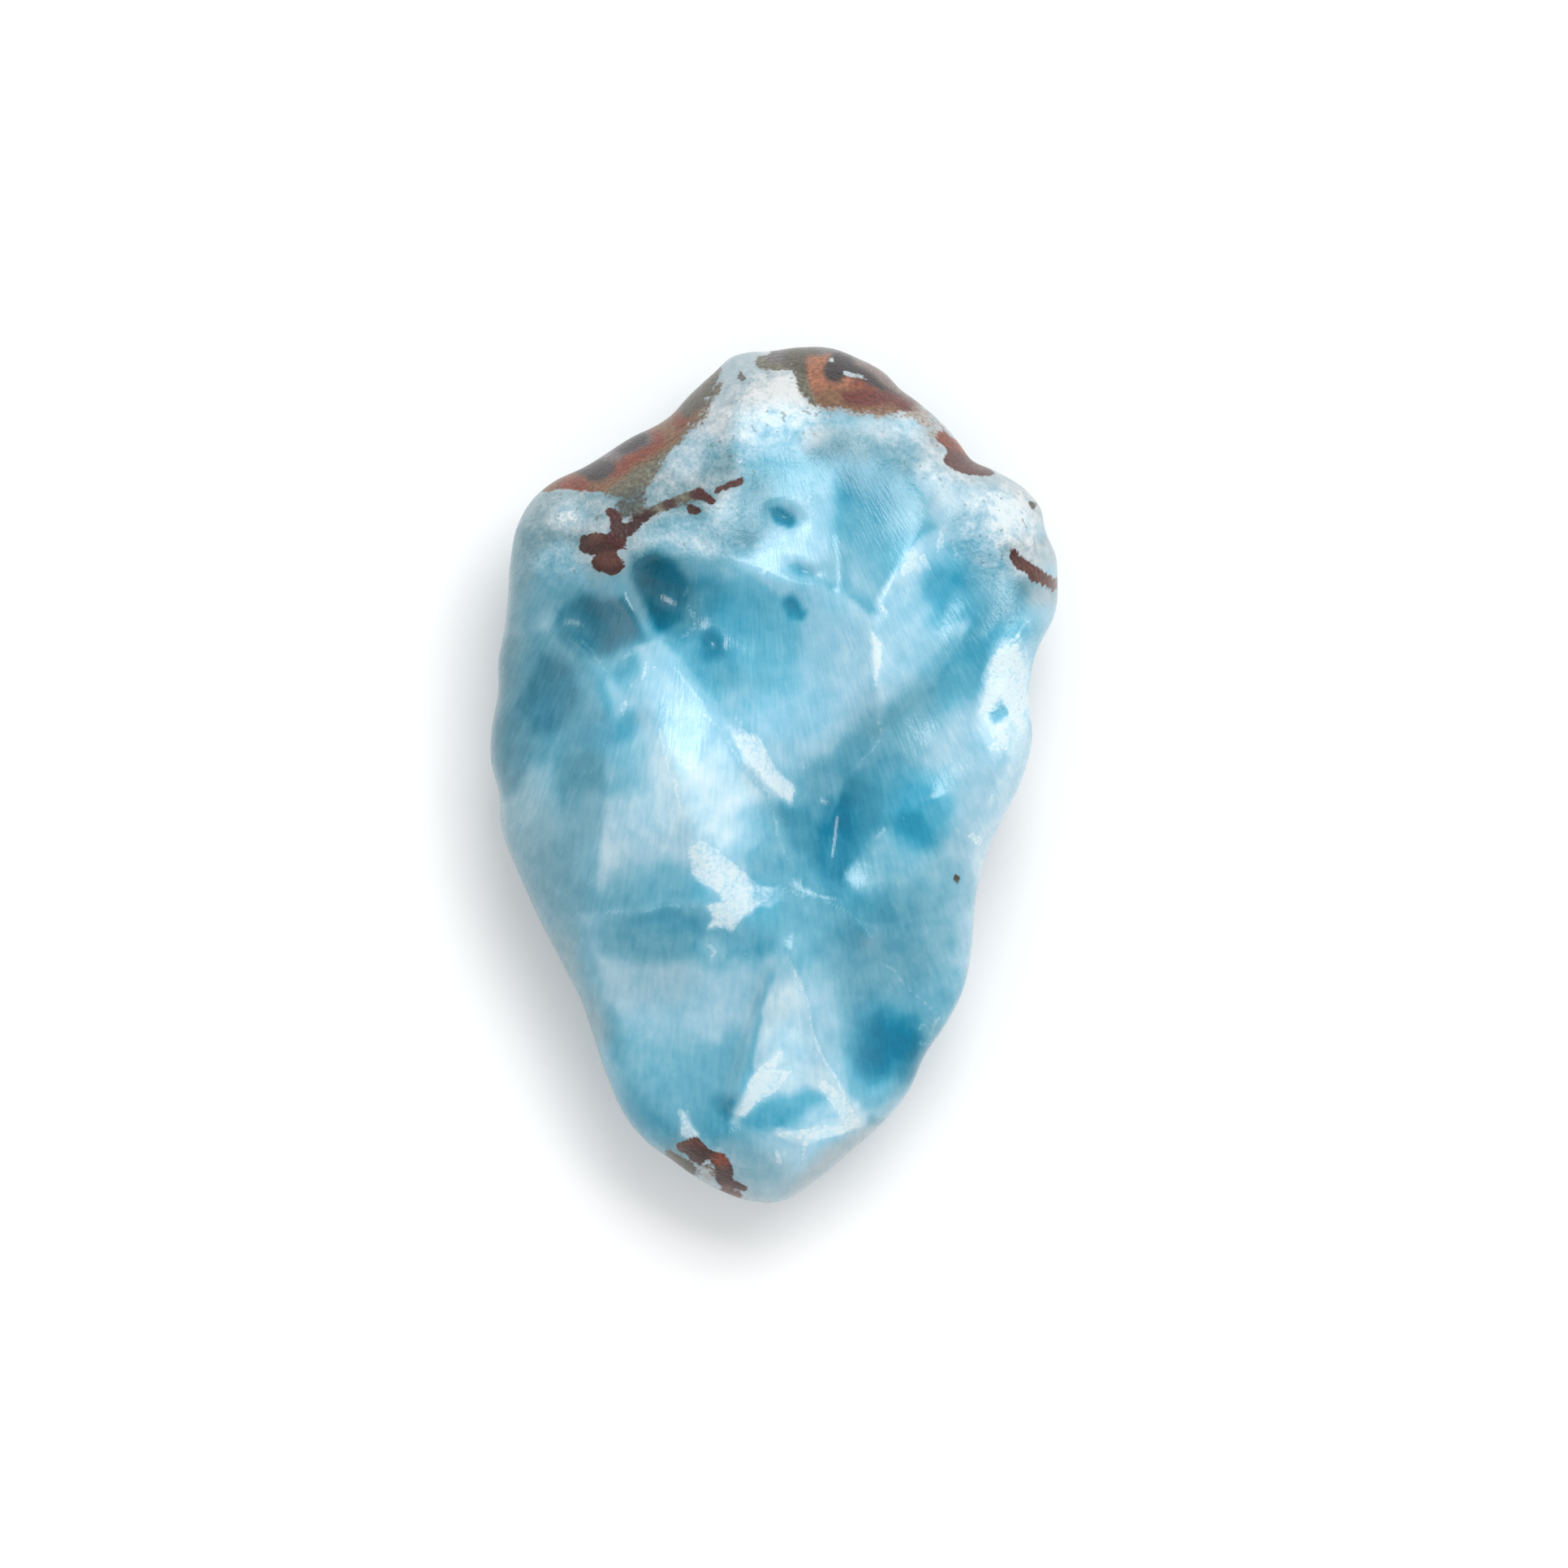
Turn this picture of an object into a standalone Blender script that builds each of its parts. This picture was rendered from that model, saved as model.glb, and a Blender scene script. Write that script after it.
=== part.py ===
"""A rough larimar: one natural lump of blue pectolite that lies on its flattest side.

All sizes below are in millimetres, in the stone's own frame: +X across, +Y towards the
rusty end, +Z up, with the origin on the resting facet, under the middle of the stone.
The stone starts as a finely divided cube that is rounded to a ball, and the ball's points
are then laid over three surfaces: a broken top, a rounded edge and a chipped underside.
"""
import math

import bmesh
import bpy
import numpy as np
from mathutils import Vector, noise

NAME = "rough_larimar"
MM = 0.001

# Driving dimensions
WIDTH = 33.1
LENGTH = 50.0
THICKNESS = 18.5
REST_CUT = 1.1          # how much of the rounded underside the resting facet takes off
REST_ROUNDING = 0.15
TOP_POWER = 3.4         # how square the shoulder between top and side is, 2 is round
UNDER_POWER = 2.5
EDGE_POLAR = 0.56       # share of the ball's height angle that the top takes
SEGMENTS = 28           # divisions along each edge of the starting cube
GRID_STEP = 0.25        # mesh of the skin that is stretched over the creases
SKIN_SWEEPS = 900
SKIN_PULL = 1.9
CREASE_WIDTH = 0.2      # half width of a worn crease
WEAR_PASSES = 2

# The widest line as seen from above, anticlockwise from the rusty end
OUTLINE = [
    (1.5, 25.0), (-0.4, 24.75), (-1.5, 24.7), (-2.5, 24.4), (-3.5, 23.5), (-4.9, 22.2),
    (-5.9, 21.1), (-8.5, 19.6), (-11.0, 18.0), (-13.0, 17.0), (-14.1, 16.0), (-14.9, 14.6),
    (-15.35, 12.4), (-15.5, 10.2), (-15.75, 8.2), (-16.05, 6.7), (-16.05, 5.0), (-16.45, 2.6),
    (-16.5, 0.9), (-16.0, -1.2), (-15.9, -3.1), (-15.0, -5.5), (-13.65, -8.5), (-12.1, -11.5),
    (-11.2, -13.3), (-10.5, -15.4), (-9.6, -18.0), (-8.6, -20.1), (-7.4, -21.5), (-5.9, -22.6),
    (-4.5, -23.6), (-2.9, -24.45), (-1.2, -25.0), (0.7, -24.9), (1.9, -24.15), (4.4, -22.1),
    (6.6, -20.1), (7.9, -18.4), (8.7, -16.6), (10.0, -14.6), (11.0, -12.6), (11.5, -10.2),
    (11.65, -8.0), (12.2, -5.1), (13.2, -2.7), (14.2, -0.8), (15.0, 2.0), (14.85, 5.2),
    (15.4, 7.5), (16.35, 9.4), (16.5, 11.4), (16.45, 12.6), (15.8, 14.3), (15.5, 15.6),
    (14.7, 16.6), (12.9, 17.75), (11.4, 18.5), (10.9, 19.2), (10.1, 20.2), (8.3, 21.85),
    (7.35, 22.55), (6.5, 23.45), (4.9, 24.35), (3.3, 24.95),
]

# Round the edge: compass angle, height of the widest line, height of the brow above it
EDGE_STATIONS = [
    (0, 8.0, 14.0), (25, 7.6, 13.8), (45, 6.8, 13.4), (65, 6.6, 13.0), (90, 6.4, 12.6),
    (112, 6.8, 13.0), (135, 7.4, 13.2), (155, 6.6, 12.6), (175, 6.0, 11.8), (200, 5.6, 11.6),
    (225, 5.8, 11.4), (245, 5.4, 10.9), (268, 5.2, 10.6), (285, 5.6, 10.6), (300, 6.2, 11.0),
    (320, 7.4, 12.4), (342, 8.2, 13.8),
]

# Creases of the broken top, ridges and valleys alike: points of x, y and height
CREASES = {
    "hump ridge": [
        (-7.2, 8.0, 16.0), (-5.7, 6.4, 16.8), (-4.2, 4.5, 17.3), (-3.0, 2.5, 17.4),
        (-2.0, 1.2, 17.0), (-1.0, 0.0, 16.5), (-0.2, -1.0, 15.9), (0.6, -4.8, 14.6)],
    "hump crest": [
        (-7.6, 5.6, 16.7), (-7.0, 3.5, 17.8), (-6.3, 1.5, 18.4), (-5.5, 0.0, 18.6),
        (-5.0, -2.0, 18.2), (-4.6, -4.0, 17.3), (-3.3, -6.0, 16.2), (-2.4, -8.0, 15.0)],
    "hump foot": [(-11.8, -8.2, 12.9), (-10.0, -8.0, 13.9), (-7.0, -7.6, 15.0), (-4.0, -7.3, 15.8)],
    "foot valley": [
        (-12.2, -10.2, 11.8), (-9.6, -10.5, 12.9), (-7.0, -10.3, 13.4), (-4.0, -10.0, 13.8),
        (-1.6, -9.8, 14.2)],
    "left scar upper edge": [
        (-13.0, 8.4, 13.6), (-11.2, 7.1, 14.9), (-10.2, 5.6, 15.5), (-9.6, 3.6, 16.1)],
    "left rim": [
        (-13.0, 8.4, 13.6), (-14.3, 6.2, 12.8), (-15.1, 4.0, 12.2), (-15.5, 1.6, 11.8)],
    "central basin floor": [
        (-2.6, 8.3, 14.0), (-0.4, 6.2, 13.4), (1.2, 3.6, 13.0), (2.2, 0.6, 12.5),
        (2.6, -1.6, 12.3)],
    "basin ridge": [
        (8.1, 13.4, 15.6), (6.2, 9.8, 15.8), (5.8, 8.0, 15.7), (6.0, 5.0, 14.8),
        (6.3, 2.3, 13.0)],
    "long valley": [
        (12.9, 9.0, 13.8), (11.0, 7.3, 13.5), (9.9, 6.0, 13.2), (8.0, 4.1, 12.9),
        (6.3, 2.3, 12.7), (4.6, 0.2, 12.3), (3.7, -2.4, 12.0), (3.3, -4.8, 12.6),
        (3.0, -6.3, 13.6)],
    "right lobe ridge": [
        (15.0, 9.6, 14.4), (14.2, 7.6, 15.0), (13.4, 5.0, 15.7), (13.0, 2.2, 15.5),
        (12.2, -1.0, 15.0), (11.2, -4.0, 14.2), (10.6, -7.0, 13.3)],
    "right lobe foot": [(5.9, -2.6, 13.4), (7.6, -2.2, 14.2), (9.4, -1.4, 14.6)],
    "ledge lip": [
        (-9.0, 10.6, 15.2), (-8.0, 12.6, 15.6), (-5.4, 12.9, 15.8), (-2.5, 12.5, 15.8),
        (0.4, 11.2, 15.6), (2.6, 11.0, 15.2)],
    "hollow rib": [(-9.0, 10.6, 15.2), (-8.1, 9.4, 15.4), (-7.2, 8.0, 16.0)],
    "flute line": [(3.5, 17.3, 14.7), (3.6, 14.0, 14.2), (3.8, 11.2, 14.4)],
    "flute edge": [(8.3, 16.4, 15.4), (9.1, 14.9, 15.3), (8.1, 13.4, 15.6)],
    "crack step": [
        (0.3, -6.5, 14.5), (2.3, -6.9, 14.5), (3.2, -7.1, 14.4), (4.2, -7.7, 14.3),
        (5.5, -9.4, 13.7)],
    "lower facet left edge": [
        (-9.6, -11.2, 12.8), (-10.1, -14.0, 12.2), (-9.4, -16.5, 11.7), (-8.4, -18.7, 11.1)],
    "wedge foot": [
        (-0.6, -11.2, 14.3), (-1.2, -13.0, 13.5), (-1.9, -15.0, 12.9), (-2.5, -17.0, 12.3),
        (-2.9, -19.3, 11.5)],
    "wedge left edge": [
        (0.9, -10.1, 14.9), (-0.2, -11.8, 14.8), (-0.7, -13.0, 14.6), (-1.2, -15.0, 14.3),
        (-1.7, -17.0, 13.8), (-2.0, -18.8, 13.0)],
    "wedge right edge": [
        (0.9, -10.1, 14.9), (1.6, -11.5, 14.8), (2.1, -14.0, 14.5), (2.9, -16.8, 13.8),
        (4.2, -18.8, 12.9), (5.1, -20.1, 12.0)],
    "tip crest": [(-1.6, -21.4, 12.0), (1.6, -21.3, 12.5), (4.0, -20.9, 12.1)],
    "crust crest": [(-10.6, 14.6, 14.8), (-6.0, 17.4, 15.2), (-2.2, 20.8, 14.9), (0.9, 22.6, 14.5)],
    "right crust crest": [(5.6, 20.6, 14.9), (9.2, 18.4, 14.9), (12.6, 15.6, 15.0), (14.2, 13.0, 14.7)],
}

# Scoops press the skin down and swells lift it: x, y, half widths, turn, depth
SCOOPS = [
    (-12.6, 4.2, 2.2, 3.4, 10, 0.7),      # left scar
    (-10.4, 8.6, 2.0, 1.5, 0, 1.2),       # outer teal hollow
    (-6.4, 10.6, 1.9, 2.1, 0, 1.5),       # inner teal hollow
    (-1.2, 7.0, 4.2, 3.6, -30, 1.0),      # head of the central basin
    (2.8, 5.0, 2.8, 4.6, -10, 0.7),       # its right side
    (8.9, 8.2, 2.4, 3.8, -40, 0.8),       # scar between basin ridge and long valley
    (10.4, 11.6, 2.2, 2.0, 0, 0.6),
    (10.8, 4.0, 1.8, 3.2, -35, 0.5),
    (-6.4, -14.6, 3.0, 4.4, 0, 0.6),      # lower facet
    (6.6, -15.0, 2.8, 3.4, -15, 1.5),     # deep bowl at the lower right
    (6.6, -9.8, 3.4, 2.2, 0, 0.5),
    (-12.2, -4.0, 2.4, 4.0, 0, -0.5),     # left flank swells
    (-4.2, 0.6, 1.4, 4.4, -20, -0.4),
    (0.9, -18.8, 2.2, 2.2, 0, -0.4),
    (0.4, -23.2, 2.4, 1.4, 0, -0.5),      # tip bulb
]

# Small pits in the ledge and flanks: x, y, half widths, turn, depth
PITS = [
    (0.55, 15.0, 0.85, 0.5, -20, 0.9), (1.7, 11.8, 0.9, 0.4, -20, 0.7),
    (1.1, 9.7, 0.4, 0.6, 20, 0.5), (-3.6, 7.5, 0.5, 0.7, 20, 0.6),
    (-1.8, 13.3, 0.7, 0.5, 0, 0.4), (-7.9, 2.9, 0.8, 0.5, 30, 0.5),
    (13.0, 3.6, 0.7, 0.5, 45, 0.5), (-2.7, -19.7, 0.8, 0.7, 0, 0.6),
]

# Patches of crumbly crust: x, y, half widths, turn, height of the crumbs
CRUSTS = [
    (-11.5, 14.5, 4.0, 3.0, 30, 0.30), (-5.0, 17.5, 6.0, 3.6, 40, 0.32),
    (0.5, 21.5, 4.5, 3.2, 0, 0.30), (8.5, 19.2, 4.5, 2.2, -35, 0.26),
    (13.4, 14.4, 3.0, 3.4, -20, 0.32), (13.8, 5.4, 1.4, 4.0, 0, 0.22),
    (-4.0, 13.8, 4.0, 1.4, 0, 0.24), (-3.6, -23.0, 2.4, 1.6, -35, 0.24),
]
CRUMB_SIZE = 2.3
SWELL_SIZE = 11.0
SWELL_HEIGHT = 0.25

# Old flake scars under the widest line: compass angle, share of the way out, height,
# angle that they face below the horizon, radius of the scar's hollow, bite
SCARS = [
    (10, 0.93, 3.6, 22, 20, 1.3), (52, 0.86, 2.2, 44, 12, 1.3), (98, 0.92, 3.2, 26, 24, 1.1),
    (140, 0.88, 2.6, 36, 15, 1.5), (176, 0.94, 3.2, 18, 28, 1.0), (205, 0.84, 1.6, 50, 10, 1.0),
    (238, 0.92, 3.0, 28, 20, 1.3), (282, 0.84, 2.0, 46, 14, 1.3), (318, 0.92, 3.4, 24, 22, 1.2),
    (348, 0.74, 0.6, 68, 14, 0.8), (160, 0.62, 0.0, 80, 16, 0.7), (256, 0.60, 0.0, 78, 12, 0.7),
    (75, 0.60, 0.0, 80, 11, 0.6),
]
SCAR_ROUNDING = 0.25
SCAR_FADE = 2.0         # the scars die out over this height below the widest line


def ring_curve(angles, values, at):
    """Smooth closed curve of value over angle, all in radians, through the stations."""
    order = np.argsort(angles)
    angle = np.asarray(angles, float)[order]
    value = np.asarray(values, float)[order]
    turn = 2 * math.pi
    angle = np.concatenate([angle[-2:] - turn, angle, angle[:2] + turn])
    value = np.concatenate([value[-2:], value, value[:2]])
    slope = np.gradient(value, angle)
    at = np.mod(at - angle[2], turn) + angle[2]
    i = np.clip(np.searchsorted(angle, at) - 1, 0, len(angle) - 2)
    span = angle[i + 1] - angle[i]
    t = (at - angle[i]) / span
    rise = t * t * (3 - 2 * t)
    bend_in = (t ** 3 - 2 * t * t + t) * span * slope[i]
    bend_out = (t ** 3 - t * t) * span * slope[i + 1]
    return value[i] * (1 - rise) + value[i + 1] * rise + bend_in + bend_out


def outline_radius(theta):
    points = np.array(OUTLINE)
    angles = np.mod(np.arctan2(points[:, 1], points[:, 0]), 2 * math.pi)
    return ring_curve(angles, np.hypot(points[:, 0], points[:, 1]), theta)


def edge_height(theta, column):
    stations = np.array(EDGE_STATIONS, float)
    return ring_curve(np.radians(stations[:, 0]), stations[:, column], theta)


def ellipse_reach(x, y, patch):
    """Squared distance from a turned ellipse's centre, 1 on its edge."""
    cx, cy, half_x, half_y, turn = patch[:5]
    c = math.cos(math.radians(turn))
    s = math.sin(math.radians(turn))
    along = ((x - cx) * c + (y - cy) * s) / half_x
    across = ((y - cy) * c - (x - cx) * s) / half_y
    return along * along + across * across


class Skin:
    """A skin stretched over the creases and the brow, sagging in the scoops."""

    def __init__(self):
        self.x0 = -WIDTH / 2 - 1
        self.y0 = -LENGTH / 2 - 1
        xs = np.arange(self.x0, WIDTH / 2 + 1, GRID_STEP)
        ys = np.arange(self.y0, LENGTH / 2 + 1, GRID_STEP)
        gx, gy = np.meshgrid(xs, ys, indexing="ij")
        theta = np.arctan2(gy, gx)
        self.height = edge_height(theta, 2)
        held = np.hypot(gx, gy) > outline_radius(theta)
        for points in CREASES.values():
            self.lay_crease(points, held, gx, gy)
        load = np.zeros_like(gx)
        for patch in SCOOPS:
            a, b, depth = patch[2], patch[3], patch[5]
            pull = 2 * depth * (a * a + b * b) / (a * a * b * b)
            load += pull * np.exp(-ellipse_reach(gx, gy, patch) ** 2)
        self.relax(held, load)
        for _ in range(WEAR_PASSES):
            self.wear()

    def lay_crease(self, points, held, gx, gy):
        for (ax, ay, az), (bx, by, bz) in zip(points[:-1], points[1:]):
            run = (bx - ax) ** 2 + (by - ay) ** 2
            t = np.clip(((gx - ax) * (bx - ax) + (gy - ay) * (by - ay)) / run, 0, 1)
            near = np.hypot(gx - ax - t * (bx - ax), gy - ay - t * (by - ay)) < CREASE_WIDTH
            self.height[near] = (az + t * (bz - az))[near]
            held |= near

    def relax(self, held, load):
        h = self.height
        i, j = np.indices(h.shape)
        inside = np.zeros(h.shape, bool)
        inside[1:-1, 1:-1] = True
        sag = load * GRID_STEP ** 2
        for sweep in range(SKIN_SWEEPS * 2):
            free = inside & ~held & ((i + j) % 2 == sweep % 2)
            mean = (np.roll(h, 1, 0) + np.roll(h, -1, 0) + np.roll(h, 1, 1) + np.roll(h, -1, 1) - sag) / 4
            h[free] += SKIN_PULL * (mean - h)[free]

    def wear(self):
        h = self.height
        mean = (np.roll(h, 1, 0) + np.roll(h, -1, 0) + np.roll(h, 1, 1) + np.roll(h, -1, 1)) / 4
        h[1:-1, 1:-1] = (h[1:-1, 1:-1] + mean[1:-1, 1:-1]) / 2

    def at(self, x, y):
        u = (x - self.x0) / GRID_STEP
        v = (y - self.y0) / GRID_STEP
        i = np.clip(u.astype(int), 0, self.height.shape[0] - 2)
        j = np.clip(v.astype(int), 0, self.height.shape[1] - 2)
        a = u - i
        b = v - j
        h = self.height
        near = h[i, j] * (1 - b) + h[i, j + 1] * b
        far = h[i + 1, j] * (1 - b) + h[i + 1, j + 1] * b
        return near * (1 - a) + far * a


def crumbs(x, y, size, seed):
    """Smooth noise from about -1 to 1, for lumps of about the given size."""
    values = [noise.noise(Vector((a / size, b / size, seed))) for a, b in zip(x, y)]
    return np.array(values) * 1.6


def top_height(skin, x, y):
    z = skin.at(x, y)
    z -= sum(patch[5] * np.exp(-ellipse_reach(x, y, patch)) for patch in PITS)
    cover = np.zeros_like(x)
    for patch in CRUSTS:
        cover = np.maximum(cover, patch[5] * np.exp(-ellipse_reach(x, y, patch) ** 2))
    z += cover * crumbs(x, y, CRUMB_SIZE, 3.7)
    return z + SWELL_HEIGHT * crumbs(x, y, SWELL_SIZE, 8.2)


def shoulder(power, radius, rise, share):
    """Superellipse from the middle of the stone to its edge, walked at an even pace."""
    reach = np.sin(np.linspace(0, math.pi / 2, 4000))
    drop = 1 - (1 - reach ** power) ** (1 / power)
    path = np.concatenate([[0], np.cumsum(np.hypot(np.diff(reach) * radius, np.diff(drop) * rise))])
    share = share * path[-1]
    return np.interp(share, path, reach), np.interp(share, path, drop)


def positive_part(value, rounding):
    """Values below zero become exactly zero, with a short rounding where they meet it."""
    bent = (value + rounding) ** 2 / (4 * rounding)
    return np.where(value > rounding, value, np.where(value < -rounding, 0.0, bent))


def cut_scars(points, rim):
    for compass, reach, height, below, radius, bite in SCARS:
        a = math.radians(compass)
        b = math.radians(below)
        out = reach * outline_radius(np.array([a]))[0]
        facing = np.array([math.cos(a) * math.cos(b), math.sin(a) * math.cos(b), -math.sin(b)])
        centre = np.array([out * math.cos(a), out * math.sin(a), height]) + facing * (radius - bite)
        arm = points - centre
        length = np.linalg.norm(arm, axis=1)
        fade = np.clip((rim - points[:, 2]) / SCAR_FADE, 0, 1)
        push = positive_part(radius - length, SCAR_ROUNDING) * fade
        points = points + arm * (push / length)[:, None]
    return points


def fit_box(points):
    """Bring the box to exactly the driving dimensions, standing on z = 0."""
    low = points.min(axis=0)
    high = points.max(axis=0)
    size = np.array([WIDTH, LENGTH, THICKNESS])
    points = (points - (low + high) / 2) * size / (high - low)
    points[:, 2] += THICKNESS / 2
    return points


def stone_points(directions):
    """Lay the points of a unit ball over the stone's top, edge and underside."""
    polar = np.arccos(np.clip(directions[:, 2], -1, 1)) / math.pi
    theta = np.arctan2(directions[:, 1] * LENGTH, directions[:, 0] * WIDTH)
    radius = outline_radius(theta)
    rim = edge_height(theta, 1)
    top = polar <= EDGE_POLAR
    share = np.where(top, polar / EDGE_POLAR, (1 - polar) / (1 - EDGE_POLAR))
    top_reach, drop = shoulder(TOP_POWER, WIDTH / 2, THICKNESS / 2, share)
    under_reach, lift = shoulder(UNDER_POWER, WIDTH / 2, THICKNESS / 2, share)
    reach = np.where(top, top_reach, under_reach) * radius
    x = reach * np.cos(theta)
    y = reach * np.sin(theta)
    brow = top_height(Skin(), x, y)
    upper = brow + (rim - brow) * drop
    knobs = crumbs(x, y, SWELL_SIZE / 2, 1.3)
    under = rim * lift + (knobs * 0.7 - REST_CUT) * (1 - lift)
    points = cut_scars(np.stack([x, y, np.where(top, upper, under)], axis=1), rim)
    points[:, 2] = positive_part(points[:, 2], REST_ROUNDING)
    return fit_box(points)


def ball_from_cube():
    """A cube divided into a fine grid on each face, blown up to a unit ball."""
    bm = bmesh.new()
    bmesh.ops.create_cube(bm, size=2.0)
    bmesh.ops.subdivide_edges(bm, edges=bm.edges[:], cuts=SEGMENTS - 1, use_grid_fill=True)
    mesh = bpy.data.meshes.new("larimar_stone")
    bm.to_mesh(mesh)
    bm.free()
    flat = np.empty(len(mesh.vertices) * 3, np.float32)
    mesh.vertices.foreach_get("co", flat)
    ball = np.tan(flat.reshape(-1, 3).astype(float) * math.pi / 4)
    return mesh, ball / np.linalg.norm(ball, axis=1, keepdims=True)


def stone_material():
    material = bpy.data.materials.new("larimar")
    material.use_nodes = True
    shader = material.node_tree.nodes["Principled BSDF"]
    shader.inputs["Base Color"].default_value = (0.22, 0.48, 0.62, 1.0)
    shader.inputs["Roughness"].default_value = 0.3
    shader.inputs["Metallic"].default_value = 0.0
    return material


def make_stone(collection):
    mesh, directions = ball_from_cube()
    points = stone_points(directions) * MM
    mesh.vertices.foreach_set("co", points.astype(np.float32).ravel())
    mesh.update()
    mesh.shade_smooth()
    mesh.set_sharp_from_angle(angle=math.radians(35))
    mesh.materials.append(stone_material())
    stone = bpy.data.objects.new("larimar_stone", mesh)
    collection.objects.link(stone)
    return stone


def main():
    for old in list(bpy.data.objects):
        bpy.data.objects.remove(old, do_unlink=True)
    collection = bpy.data.collections.new(NAME)
    bpy.context.scene.collection.children.link(collection)
    stone = make_stone(collection)
    size = [round(side / MM, 2) for side in stone.dimensions]
    print("larimar stone, millimetres:", size, "faces:", len(stone.data.polygons))


main()
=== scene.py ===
# %% [markdown]
# A rough larimar, seen from above. The real stone is one lump of blue pectolite that was
# broken out of a vein: needle crystals grown in fans, glossy fracture scars, and a crust
# with rusty spots at its wide end. The measured solid comes first, as a fixed frame.
# Everything after it is looks: a finer surface over the same shape, then colour and gloss.

# %% Load the measured solid
import math

import bmesh
import bpy
import numpy as np
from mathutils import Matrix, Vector, noise


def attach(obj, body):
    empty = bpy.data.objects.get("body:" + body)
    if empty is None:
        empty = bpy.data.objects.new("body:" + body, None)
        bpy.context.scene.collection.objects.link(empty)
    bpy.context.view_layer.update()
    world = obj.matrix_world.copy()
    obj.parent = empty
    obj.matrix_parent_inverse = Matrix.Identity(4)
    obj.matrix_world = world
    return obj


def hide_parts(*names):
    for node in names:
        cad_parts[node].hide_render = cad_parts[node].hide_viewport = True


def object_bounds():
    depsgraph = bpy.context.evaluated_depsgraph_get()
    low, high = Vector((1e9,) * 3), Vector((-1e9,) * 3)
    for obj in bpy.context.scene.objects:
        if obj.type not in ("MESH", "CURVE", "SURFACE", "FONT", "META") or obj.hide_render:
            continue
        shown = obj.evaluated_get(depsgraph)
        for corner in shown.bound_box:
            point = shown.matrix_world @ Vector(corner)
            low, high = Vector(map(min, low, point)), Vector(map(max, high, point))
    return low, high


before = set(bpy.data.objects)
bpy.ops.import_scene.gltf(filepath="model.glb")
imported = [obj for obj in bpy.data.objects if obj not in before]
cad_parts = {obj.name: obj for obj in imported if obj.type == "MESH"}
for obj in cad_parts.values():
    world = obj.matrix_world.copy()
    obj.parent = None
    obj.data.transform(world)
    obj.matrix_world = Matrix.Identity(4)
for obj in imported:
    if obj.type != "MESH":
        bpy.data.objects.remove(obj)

MM = 0.001
STONE = "larimar_stone"
cad_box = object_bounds()
LOW = np.array(cad_box[0]) / MM
HIGH = np.array(cad_box[1]) / MM
WIDTH, LENGTH, THICKNESS = HIGH - LOW
print("stone box in millimetres:", np.round(HIGH - LOW, 2))

# %% [markdown]
# The stone is a heap of irregular curves, so it isn't turned, lofted or bevelled. It is a
# ball whose points are laid over a few measured lines: the widest line as seen from above,
# the height of that line round the stone, and the creases where two scars meet. The lines
# are the same as in the solid, so the fine surface and the solid agree.

# %% Widest line and edge heights, in millimetres
OUTLINE = [
    (1.5, 25.0), (-0.4, 24.75), (-1.5, 24.7), (-2.5, 24.4), (-3.5, 23.5), (-4.9, 22.2),
    (-5.9, 21.1), (-8.5, 19.6), (-11.0, 18.0), (-13.0, 17.0), (-14.1, 16.0), (-14.9, 14.6),
    (-15.35, 12.4), (-15.5, 10.2), (-15.75, 8.2), (-16.05, 6.7), (-16.05, 5.0), (-16.45, 2.6),
    (-16.5, 0.9), (-16.0, -1.2), (-15.9, -3.1), (-15.0, -5.5), (-13.65, -8.5), (-12.1, -11.5),
    (-11.2, -13.3), (-10.5, -15.4), (-9.6, -18.0), (-8.6, -20.1), (-7.4, -21.5), (-5.9, -22.6),
    (-4.5, -23.6), (-2.9, -24.45), (-1.2, -25.0), (0.7, -24.9), (1.9, -24.15), (4.4, -22.1),
    (6.6, -20.1), (7.9, -18.4), (8.7, -16.6), (10.0, -14.6), (11.0, -12.6), (11.5, -10.2),
    (11.65, -8.0), (12.2, -5.1), (13.2, -2.7), (14.2, -0.8), (15.0, 2.0), (14.85, 5.2),
    (15.4, 7.5), (16.35, 9.4), (16.5, 11.4), (16.45, 12.6), (15.8, 14.3), (15.5, 15.6),
    (14.7, 16.6), (12.9, 17.75), (11.4, 18.5), (10.9, 19.2), (10.1, 20.2), (8.3, 21.85),
    (7.35, 22.55), (6.5, 23.45), (4.9, 24.35), (3.3, 24.95),
]
# compass angle, height of the widest line, height of the brow above it
EDGE_STATIONS = [
    (0, 8.0, 14.0), (25, 7.6, 13.8), (45, 6.8, 13.4), (65, 6.6, 13.0), (90, 6.4, 12.6),
    (112, 6.8, 13.0), (135, 7.4, 13.2), (155, 6.6, 12.6), (175, 6.0, 11.8), (200, 5.6, 11.6),
    (225, 5.8, 11.4), (245, 5.4, 10.9), (268, 5.2, 10.6), (285, 5.6, 10.6), (300, 6.2, 11.0),
    (320, 7.4, 12.4), (342, 8.2, 13.8),
]


def ring_curve(angles, values, at):
    """Smooth closed curve of value over angle, all in radians, through the stations."""
    order = np.argsort(angles)
    angle = np.asarray(angles, float)[order]
    value = np.asarray(values, float)[order]
    turn = 2 * math.pi
    angle = np.concatenate([angle[-2:] - turn, angle, angle[:2] + turn])
    value = np.concatenate([value[-2:], value, value[:2]])
    slope = np.gradient(value, angle)
    at = np.mod(at - angle[2], turn) + angle[2]
    i = np.clip(np.searchsorted(angle, at) - 1, 0, len(angle) - 2)
    span = angle[i + 1] - angle[i]
    t = (at - angle[i]) / span
    rise = t * t * (3 - 2 * t)
    bend_in = (t ** 3 - 2 * t * t + t) * span * slope[i]
    bend_out = (t ** 3 - t * t) * span * slope[i + 1]
    return value[i] * (1 - rise) + value[i + 1] * rise + bend_in + bend_out


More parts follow.
